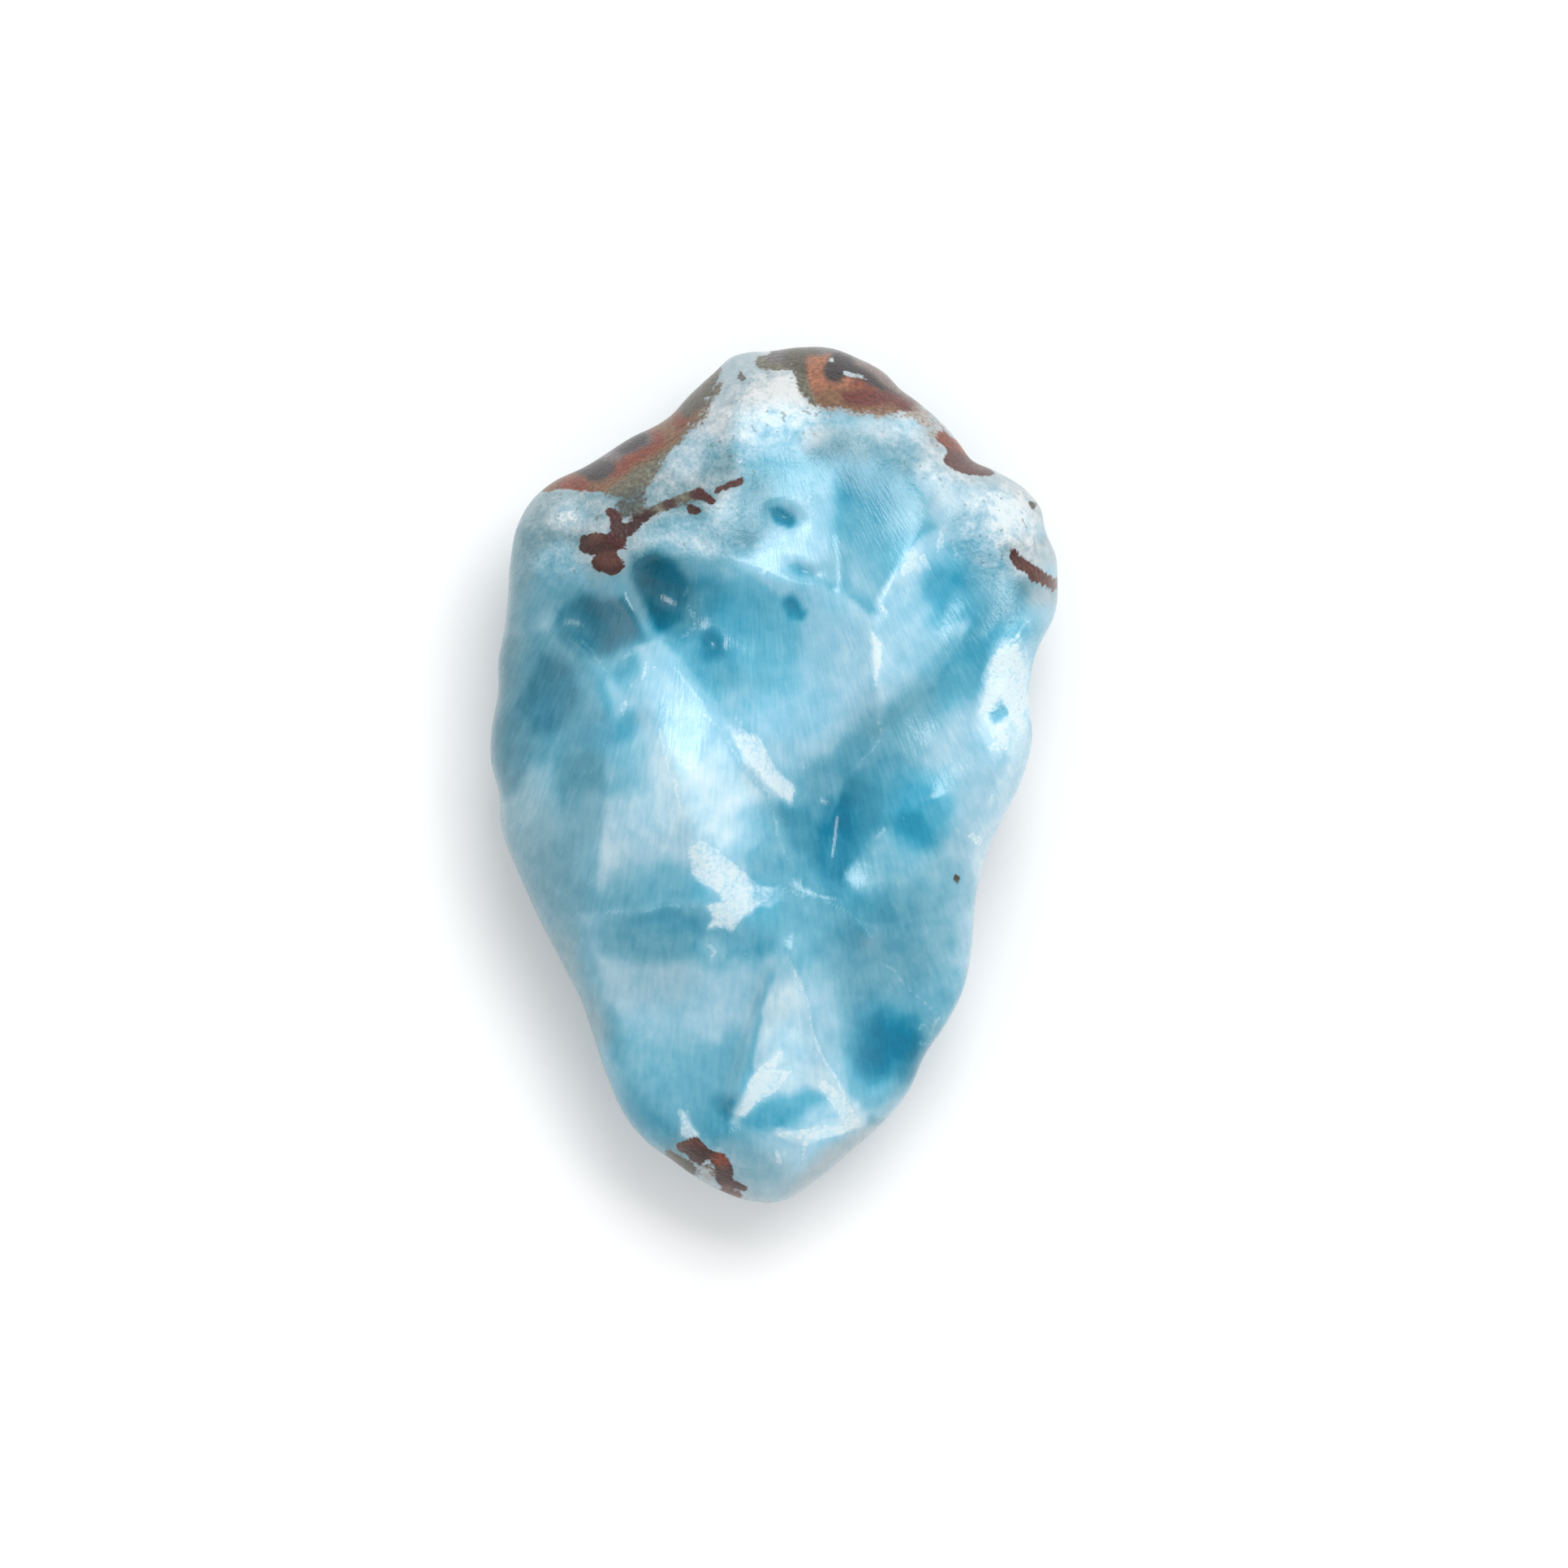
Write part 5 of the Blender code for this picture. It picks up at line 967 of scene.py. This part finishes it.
# ragged white patches, partly real chips and partly painted highlights where the lamps glint, as areas or
# as lines with half widths
CHIPS_AND_GLINTS = [
    [(-4.9, -4.2), (-4.2, -3.8), (-3.8, -4.0), (-2.4, -5.0), (-1.4, -5.9), (-0.8, -6.4), (0.2, -6.6),
        (-0.4, -7.3), (-1.3, -7.9),
     (-1.8, -8.2), (-2.3, -9.0), (-3.2, -8.8), (-3.9, -8.8), (-3.5, -8.2), (-4.0, -7.5), (-2.8, -7.2),
         (-3.2, -6.8), (-3.6, -6.5),
     (-4.2, -6.2), (-4.8, -5.6)],
    [(-2.6, 2.8), (-2.2, 2.2), (-1.6, 2.6), (-0.9, 2.3), (-0.4, 1.4), (0.2, 0.3), (1.2, -0.7),
        (1.1, -1.6), (0.3, -1.2), (-0.8, 0.0), (-1.9, 1.4)],
    [(-2.2, 3.4, 0.06), (-1.9, 2.7, 0.12)],
    [(-1.8, 3.3, 0.05), (-1.9, 2.9, 0.08)],
    [(5.7, 8.2, 0.1), (6.0, 7.6, 0.22), (6.0, 6.6, 0.2), (5.9, 5.2, 0.08)],
    [(-5.05, 10.9, 0.08), (-5.1, 10.5, 0.14)],
    [(-4.3, 10.15, 0.12)],
    [(-5.0, 9.8, 0.12), (-4.7, 9.3, 0.18), (-4.5, 8.8, 0.1)],
    [(-5.3, 8.0, 0.14), (-4.9, 8.3, 0.12), (-4.5, 8.6, 0.08)],
    [(-12.4, 15.0, 0.24), (-11.8, 15.05, 0.3), (-11.4, 15.1, 0.18)],
    [(-11.9, 12.0, 0.05), (-11.5, 11.9, 0.06), (-11.4, 11.65, 0.04)],
    [(-8.7, 4.05, 0.22), (-8.7, 3.5, 0.08)],
    [(-8.3, 4.05, 0.08)],
    [(-8.8, 6.75, 0.1), (-8.3, 7.0, 0.13)],
    [(-7.4, 6.4, 0.14), (-7.5, 5.9, 0.14), (-7.7, 5.5, 0.05)],
    [(-6.9, 6.2, 0.12)],
    [(-5.5, -19.5, 0.14), (-5.2, -20.2, 0.22), (-5.0, -20.8, 0.36), (-4.6, -20.9, 0.25)],
    [(-5.1, -19.2, 0.06), (-4.95, -19.6, 0.05)],
    [(0.4, -16.0), (0.1, -17.0), (1.0, -17.2), (0.2, -18.3), (-0.9, -19.0), (-1.6, -19.7),
        (-2.0, -19.8), (-1.5, -18.4), (-1.5, -17.6), (-0.6, -16.8)],
    [(-2.6, -20.7, 0.08), (-2.1, -20.5, 0.16)],
    [(2.9, -18.0, 0.3), (3.8, -19.0, 0.4), (4.4, -20.0, 0.45), (4.8, -20.3, 0.3)],
    [(4.4, -20.6, 0.2), (3.4, -20.7, 0.3), (2.6, -20.8, 0.4), (1.8, -20.9, 0.3), (0.4, -20.9, 0.15)],
    [(1.8, -21.4, 0.12), (1.7, -22.3, 0.1)],
    [(0.2, -21.9, 0.1), (0.3, -22.5, 0.15)],
    [(8.1, 13.3, 0.05), (8.0, 12.8, 0.3), (7.8, 12.2, 0.45), (7.4, 11.7, 0.2)],
    [(8.6, 12.6, 0.2), (9.0, 12.0, 0.1)],
    [(6.1, 9.9, 0.08), (6.4, 9.4, 0.14), (6.5, 9.1, 0.08)],
    [(9.7, 14.1, 0.12), (9.65, 13.4, 0.2), (9.5, 12.7, 0.06)],
    [(10.35, 13.5, 0.04), (10.6, 12.8, 0.1), (10.5, 12.2, 0.05)],
    [(10.75, 11.85, 0.1)],
    [(9.85, 11.5, 0.05), (9.95, 11.0, 0.08)],
    [(13.3, 15.4, 0.25), (13.9, 15.8, 0.35), (14.4, 15.2, 0.25)],
    [(12.7, 14.9, 0.1), (12.8, 14.2, 0.18)],
    [(14.8, 13.5, 0.25)],
    [(1.55, 0.8, 0.08), (1.8, 0.45, 0.1)],
    [(7.5, -2.45, 0.12)],
    [(6.0, -3.6, 0.13), (6.4, -3.15, 0.13)],
    [(11.5, -3.5, 0.24), (11.9, -3.8, 0.22)],
    [(12.6, -1.3, 0.12), (12.6, -0.9, 0.06)],
    [(9.65, -14.1, 0.1), (9.3, -14.7, 0.16), (9.1, -15.3, 0.06)],
    [(8.4, -15.6, 0.08), (8.8, -15.7, 0.14)],
    [(8.4, -14.8, 0.06), (8.8, -14.5, 0.08)],
    [(12.2, 6.2), (12.7, 7.0), (13.6, 7.7), (14.3, 8.4), (14.2, 7.4), (14.6, 6.4), (14.5, 5.0),
        (14.7, 3.8), (14.2, 2.8), (13.6, 3.4),
     (13.3, 4.4), (12.8, 3.7), (11.9, 3.6), (12.3, 4.6), (12.0, 5.4)],
    [(13.0, 2.8, 0.15), (13.4, 1.8, 0.3), (12.6, 1.6, 0.2)],
    [(0.2, 22.6, 0.2), (0.7, 22.5, 0.15)],
    [(0.9, 22.2, 0.2), (1.4, 22.1, 0.3)],
    [(-2.9, 21.1, 0.16), (-2.6, 20.9, 0.14)],
    [(-1.9, 18.4, 0.08), (-1.9, 18.1, 0.1)],
    [(-0.95, 19.1, 0.06), (-0.7, 19.3, 0.05)],
    [(-2.1, 15.3, 0.08), (-1.8, 15.0, 0.1), (-2.6, 14.6, 0.06)],
    [(-0.8, 11.6, 0.15), (-0.3, 11.9, 0.1)],
    [(-3.8, -9.8, 0.1), (-3.4, -10.2, 0.18), (-3.7, -10.6, 0.06)],
    [(-1.6, -10.3, 0.05), (-1.9, -10.7, 0.04)],
]
# fine pale lines, along the crack below the heart and along creases of the relief
LINES = [
    [(0.6, -6.5), (2.3, -6.95), (3.2, -7.1), (4.2, -7.7), (5.0, -8.6), (5.6, -9.5)],
    [(-0.3, -1.0), (0.3, -3.2), (0.7, -4.8)],
    [(5.1, 1.0), (6.2, 2.1), (6.2, 3.4)],
    [(6.2, -10.8), (7.0, -11.4), (9.5, -13.9)],
    [(0.95, -10.4), (1.5, -11.8), (2.1, -14.0), (2.9, -16.8), (4.2, -18.8)],
    [(-4.9, 4.7), (-3.1, 2.4), (-1.6, 0.5), (-0.3, -0.9)],
    [(-11.3, 8.0), (-9.8, 6.4), (-8.6, 5.4), (-8.0, 4.9)],
    [(14.9, 9.0), (14.2, 7.6), (13.6, 5.6), (12.6, 4.2)],
    [(-6.7, 2.6), (-6.4, 0.9), (-5.6, -0.6), (-5.3, -2.0)],
    [(-9.8, -7.9), (-6.8, -7.9), (-4.6, -7.6)],
]

# %% [markdown]
# Now the strokes are laid on the points of the fine surface. Under the widest line nothing
# is known, so the paint fades there into plain cloudy blue and grey.

# %% Lay the paint on the points
GROUND_MILK = 0.5
GROUND_GREY = 0.25
GLOSS_GREY = 0.14              # the grey that the mirrored ceiling adds by itself
UNDER_MILK = 0.5
UNDER_GREY = 0.75
UNDER_CLOUD = 0.2
UNDER_CLOUD_SIZE = 4.0
UNDER_FADE = 2.5
LIGHT_GAIN = 1.2               # how bright a white surface looks under these lights
COLOUR_REACH = 0.4
EDGE_BLUR = 0.3
LINE_BLUR = 0.25
FAN_CENTRE = (-2.0, 30.0)
FAN_TURN = 60.0
FAN_RUN = 0.30
CRUST_FULL = 0.3


def surface_colour(seen):
    """Linear surface colour that looks like the given 0 to 255 colour under these lights."""
    part = np.array(seen) / 255
    linear = np.where(part <= 0.04045, part / 12.92, ((part + 0.055) / 1.055) ** 2.4)
    return linear / LIGHT_GAIN


def lay_milk(x, y):
    milk = np.full(x.shape, GROUND_MILK)
    for _, value, softness, area, strokes in FACETS:
        inner = lay(np.full(x.shape, value), x, y, strokes)
        milk += (inner - milk) * brush(x, y, area, softness)
    return lay(milk, x, y, DETAILS)


def lay_stains(x, y):
    cover = np.zeros(x.shape)
    colour = np.tile(surface_colour(STAIN_COLOURS["ochre"]), (len(x), 1))
    for name, strength, softness, shape in STAINS:
        stroke = strength * brush(x, y, shape, max(softness, EDGE_BLUR))
        wide = np.clip(1.5 * brush(x, y, shape, softness + COLOUR_REACH), 0, 1)[:, None]
        cover += (1 - cover) * stroke
        colour += (surface_colour(STAIN_COLOURS[name]) - colour) * wide
    return cover, colour


def nearest(x, y, shapes):
    return np.min([shape_reach(x, y, shape) for shape in shapes], axis=0)


def point_layer(name, kind, field, values):
    layer = mesh.attributes.new(name, kind, "POINT")
    layer.data.foreach_set(field, values.astype(np.float32).ravel())


px, py, pz = points.T
wx, wy = wander(px, py)
under = np.clip((edge_height(np.arctan2(py, px), 1) - pz) / UNDER_FADE, 0, 1)
cloud = lattice_noise(px + pz, py - pz, UNDER_CLOUD_SIZE, 5.5)
milk = lay_milk(wx, wy)
milk += (UNDER_MILK + UNDER_CLOUD * cloud - milk) * under
greyness = lay(np.full(px.shape, GROUND_GREY), wx, wy, GREYNESS)
greyness -= GLOSS_GREY
greyness += (UNDER_GREY - greyness) * under
stain_cover, stain_colour = lay_stains(wx, wy)
# white patches: partly real chips, partly painted highlights where the lamps glint
chip_and_glint = np.clip(0.5 - nearest(px, py, CHIPS_AND_GLINTS) / EDGE_BLUR, 0, 1)
pale_line = np.clip(1 - nearest(wx, wy, [[(a, b, 0.0) for a, b in line] for line in LINES]) / LINE_BLUR, 0, 1)
fan = np.arctan2(px - FAN_CENTRE[0], FAN_CENTRE[1] - py) * FAN_TURN
run = np.hypot(px - FAN_CENTRE[0], py - FAN_CENTRE[1]) * FAN_RUN
point_layer("milk", "FLOAT", "value", milk)
point_layer("greyness", "FLOAT", "value", greyness)
point_layer("stain_cover", "FLOAT", "value", stain_cover * (1 - under))
point_layer("stain_colour", "FLOAT_COLOR", "color", np.column_stack([stain_colour, np.ones(len(px))]))
point_layer("chip_and_glint", "FLOAT", "value", chip_and_glint * (1 - under))
point_layer("pale_line", "FLOAT", "value", pale_line * (1 - under))
point_layer("crust", "FLOAT", "value", np.clip(crust_cover(px, py) / CRUST_FULL, 0, 1))
point_layer("fibre", "FLOAT_VECTOR", "vector", np.column_stack([fan, run, pz * FAN_RUN]))
print("paint:", len(FACETS), "facets,", len(STAINS), "stains,", len(CHIPS_AND_GLINTS), "chips,", len(LINES), "lines")

# %% [markdown]
# Points lie a sixth of a millimetre apart, so anything finer is left to the material: small
# clouds and needle fibres in the milk, ragged edges on chips, painted glints and stains, and
# pepper specks in the crust. A node group works out the marks, and the shader takes its gloss from them.

# %% Node group for the stone's marks
BLUE_RAMP = [
    (0.0, (0, 110, 143)), (0.15, (10, 130, 163)), (0.35, (62, 160, 190)), (0.55, (112, 188, 213)),
    (0.75, (165, 213, 234)), (0.9, (205, 236, 248)), (1.0, (228, 246, 252)),
]
GREY_RAMP = [
    (0.0, (22, 84, 98)), (0.15, (50, 112, 128)), (0.35, (95, 140, 152)), (0.55, (135, 165, 174)),
    (0.75, (175, 190, 196)), (0.9, (205, 212, 214)), (1.0, (226, 228, 228)),
]
PER_MM = 1 / MM
group = bpy.data.node_groups.new("stone_marks", "ShaderNodeTree")
group_nodes = group.nodes
group_links = group.links
for name, socket, way in [
        ("Cloud", "NodeSocketFloat", "INPUT"), ("Needle", "NodeSocketFloat", "INPUT"),
        ("Ragged", "NodeSocketFloat", "INPUT"), ("Color", "NodeSocketColor", "OUTPUT"),
        ("Roughness", "NodeSocketFloat", "OUTPUT"), ("Height", "NodeSocketFloat", "OUTPUT")]:
    group.interface.new_socket(name=name, in_out=way, socket_type=socket)
entry = group_nodes.new("NodeGroupInput").outputs
leave = group_nodes.new("NodeGroupOutput").inputs


def feed(value, socket):
    if isinstance(value, bpy.types.NodeSocket):
        group_links.new(value, socket)
    else:
        socket.default_value = value


def maths(operation, *values):
    node = group_nodes.new("ShaderNodeMath")
    node.operation = operation
    for value, socket in zip(values, node.inputs):
        feed(value, socket)
    return node.outputs["Value"]


def painted(name, output="Fac"):
    node = group_nodes.new("ShaderNodeAttribute")
    node.attribute_type = "GEOMETRY"
    node.attribute_name = name
    return node.outputs[output]


def grain(vector, scale, detail):
    """Noise from about -0.5 to 0.5."""
    node = group_nodes.new("ShaderNodeTexNoise")
    feed(vector, node.inputs["Vector"])
    feed(scale, node.inputs["Scale"])
    feed(detail, node.inputs["Detail"])
    return maths("SUBTRACT", node.outputs["Fac"], 0.5)


def step(value, low, high):
    node = group_nodes.new("ShaderNodeMapRange")
    node.interpolation_type = "SMOOTHSTEP"
    feed(value, node.inputs["Value"])
    node.inputs["From Min"].default_value = low
    node.inputs["From Max"].default_value = high
    return node.outputs["Result"]


def colour_ramp(stops, at):
    node = group_nodes.new("ShaderNodeValToRGB")
    ramp = node.color_ramp
    while len(ramp.elements) < len(stops):
        ramp.elements.new(0.5)
    for element, (place, seen) in zip(ramp.elements, stops):
        element.position = place
        element.color = (*surface_colour(seen), 1.0)
    feed(at, node.inputs["Fac"])
    return node.outputs["Color"]


def blend(factor, below, above):
    node = group_nodes.new("ShaderNodeMix")
    node.data_type = "RGBA"
    node.clamp_factor = False
    feed(factor, node.inputs["Factor"])
    feed(below, [s for s in node.inputs if s.name == "A" and s.type == "RGBA"][0])
    feed(above, [s for s in node.inputs if s.name == "B" and s.type == "RGBA"][0])
    return [s for s in node.outputs if s.type == "RGBA"][0]


place = group_nodes.new("ShaderNodeVectorMath")
place.operation = "SCALE"
place.inputs["Scale"].default_value = PER_MM
group_links.new(group_nodes.new("ShaderNodeTexCoord").outputs["Object"], place.inputs["Vector"])
place = place.outputs["Vector"]
crust = painted("crust")
fine = grain(place, 4.5, 4.0)
cloud_part = maths("MULTIPLY", grain(place, 0.8, 6.0), entry["Cloud"])
needle_part = maths("MULTIPLY", grain(painted("fibre", "Vector"), 2.6, 3.0), entry["Needle"])
needle_part = maths("MULTIPLY", needle_part, maths("SUBTRACT", 1.0, crust))
crust_part = maths("MULTIPLY", maths("ADD", maths("MULTIPLY", fine, 0.6), grain(place, 1.5, 3.0)), 0.7)
crust_part = maths("MULTIPLY", maths("ADD", crust_part, 0.10), crust)
ragged = maths("MULTIPLY", maths("ADD", fine, grain(place, 1.7, 2.0)), entry["Ragged"])
# the white patches whiten the milk: partly real chips, partly painted highlights of glints
chip_and_glint_mask = step(maths("ADD", painted("chip_and_glint"), ragged), 0.42, 0.62)
pale_line_mask = step(maths("ADD", painted("pale_line"), ragged), 0.55, 0.95)
stain_mask = step(maths("ADD", painted("stain_cover"), ragged), 0.30, 0.70)
milkiness = maths("ADD", painted("milk"), maths("ADD", cloud_part, maths("ADD", needle_part, crust_part)))
chip_and_glint_part = maths("MULTIPLY", chip_and_glint_mask, maths("ADD", 0.10, maths("MULTIPLY", fine, 0.5)))
milkiness = maths("ADD", milkiness, chip_and_glint_part)
milkiness = maths("ADD", milkiness, maths("MULTIPLY", pale_line_mask, 0.12))
blue = colour_ramp(BLUE_RAMP, milkiness)
grey = colour_ramp(GREY_RAMP, milkiness)
stone_colour = blend(painted("greyness"), blue, grey)
pepper = maths("MULTIPLY", step(grain(place, 2.3, 1.0), 0.19, 0.23), crust)
stone_colour = blend(maths("MULTIPLY", pepper, 0.5), stone_colour, (*surface_colour((98, 104, 98)), 1.0))
dark_stain = blend(maths("ADD", 0.34, maths("MULTIPLY", fine, 1.6)), painted("stain_colour", "Color"),
    (*surface_colour((50, 36, 34)), 1.0))
feed(blend(stain_mask, stone_colour, dark_stain), leave["Color"])
rough = maths("ADD", 0.24, maths("MULTIPLY", crust, 0.20))
rough = maths("ADD", rough, maths("MULTIPLY", chip_and_glint_mask, 0.10))
feed(maths("ADD", rough, maths("MULTIPLY", fine, 0.20)), leave["Roughness"])
height = maths("MULTIPLY", fine, maths("ADD", 0.10, crust))
feed(maths("ADD", height, maths("MULTIPLY", needle_part, 0.8)), leave["Height"])
print("stone marks:", len(group_nodes), "nodes")

# %% Larimar material
CLOUD = 0.30
NEEDLE = 0.20
RAGGED = 0.9
RELIEF = 0.14 * MM
material = bpy.data.materials.new("larimar")
material.use_nodes = True
nodes = material.node_tree.nodes
links = material.node_tree.links
shader = nodes["Principled BSDF"]
marks = nodes.new("ShaderNodeGroup")
marks.node_tree = group
for name, value in [("Cloud", CLOUD), ("Needle", NEEDLE), ("Ragged", RAGGED)]:
    marks.inputs[name].default_value = value
bump = nodes.new("ShaderNodeBump")
bump.inputs["Strength"].default_value = 1.0
bump.inputs["Distance"].default_value = RELIEF
links.new(marks.outputs["Color"], shader.inputs["Base Color"])
links.new(marks.outputs["Roughness"], shader.inputs["Roughness"])
links.new(marks.outputs["Height"], bump.inputs["Height"])
links.new(bump.outputs["Normal"], shader.inputs["Normal"])
shader.inputs["IOR"].default_value = 1.6
mesh.materials.append(material)
print("material:", material.name)

# %% [markdown]
# The light is a bright even sky with one large soft lamp above the wide end, as in a small
# photo tent. A gloss needs something to mirror, so the ceiling is darker than the walls.

# %% Floor, lights and camera
FRAME_WIDTH = 91.56 * MM       # what the picture shows at the height of the widest line
CAMERA_OFFSET = (0.59 * MM, -0.52 * MM)
CAMERA_DISTANCE = 0.9
SENSOR = 36.0
WIDEST_HEIGHT = 6.5 * MM
SKY_STRENGTH = 0.86
# the gloss mirrors a dark ceiling and pale walls
CEILING = [("From Min", 0.15), ("From Max", 0.75), ("To Min", 0.6), ("To Max", 0.10)]


def make_floor():
    bm = bmesh.new()
    bmesh.ops.create_grid(bm, x_segments=1, y_segments=1, size=2.0)
    floor_mesh = bpy.data.meshes.new("floor")
    bm.to_mesh(floor_mesh)
    bm.free()
    floor = bpy.data.objects.new("floor", floor_mesh)
    bpy.context.scene.collection.objects.link(floor)
    paper = bpy.data.materials.new("floor_paper")
    paper.use_nodes = True
    paper.node_tree.nodes["Principled BSDF"].inputs["Base Color"].default_value = (0.93, 0.93, 0.93, 1.0)
    paper.node_tree.nodes["Principled BSDF"].inputs["Roughness"].default_value = 0.9
    floor_mesh.materials.append(paper)
    return floor


def softbox(name, direction, distance, size, power):
    light = bpy.data.lights.new(name, "AREA")
    light.shape = "RECTANGLE"
    light.size, light.size_y = size
    light.energy = power
    lamp = bpy.data.objects.new(name, light)
    bpy.context.scene.collection.objects.link(lamp)
    lamp.location = Vector(direction).normalized() * distance
    lamp.rotation_euler = (-Vector(direction)).to_track_quat("-Z", "Y").to_euler()
    return lamp


make_floor()
softbox("key", (0.22, 0.56, 0.95), 0.8, (0.42, 0.38), 2.9)
softbox("glint", (0.42, 0.30, 0.95), 0.8, (0.12, 0.16), 0.35)
world = bpy.data.worlds.new("studio")
bpy.context.scene.world = world
world.use_nodes = True
world_nodes = world.node_tree.nodes
world_links = world.node_tree.links
sky = world_nodes["Background"]
direction = world_nodes.new("ShaderNodeTexCoord")
split = world_nodes.new("ShaderNodeSeparateXYZ")
ceiling = world_nodes.new("ShaderNodeMapRange")
for name, value in CEILING:
    ceiling.inputs[name].default_value = value
path = world_nodes.new("ShaderNodeLightPath")
pick = world_nodes.new("ShaderNodeMix")
pick.inputs["A"].default_value = SKY_STRENGTH
world_links.new(direction.outputs["Generated"], split.inputs["Vector"])
world_links.new(split.outputs["Z"], ceiling.inputs["Value"])
world_links.new(ceiling.outputs["Result"], pick.inputs["B"])
world_links.new(path.outputs["Is Glossy Ray"], pick.inputs["Factor"])
world_links.new(pick.outputs["Result"], sky.inputs["Strength"])
sky.inputs["Color"].default_value = (1.0, 1.0, 1.0, 1.0)
bpy.context.scene.view_settings.view_transform = "Standard"

camera = bpy.data.cameras.new("camera")
camera.sensor_width = SENSOR
camera.lens = SENSOR * CAMERA_DISTANCE / FRAME_WIDTH
camera_object = bpy.data.objects.new("camera", camera)
bpy.context.scene.collection.objects.link(camera_object)
camera_object.location = (*CAMERA_OFFSET, WIDEST_HEIGHT + CAMERA_DISTANCE)
bpy.context.scene.camera = camera_object
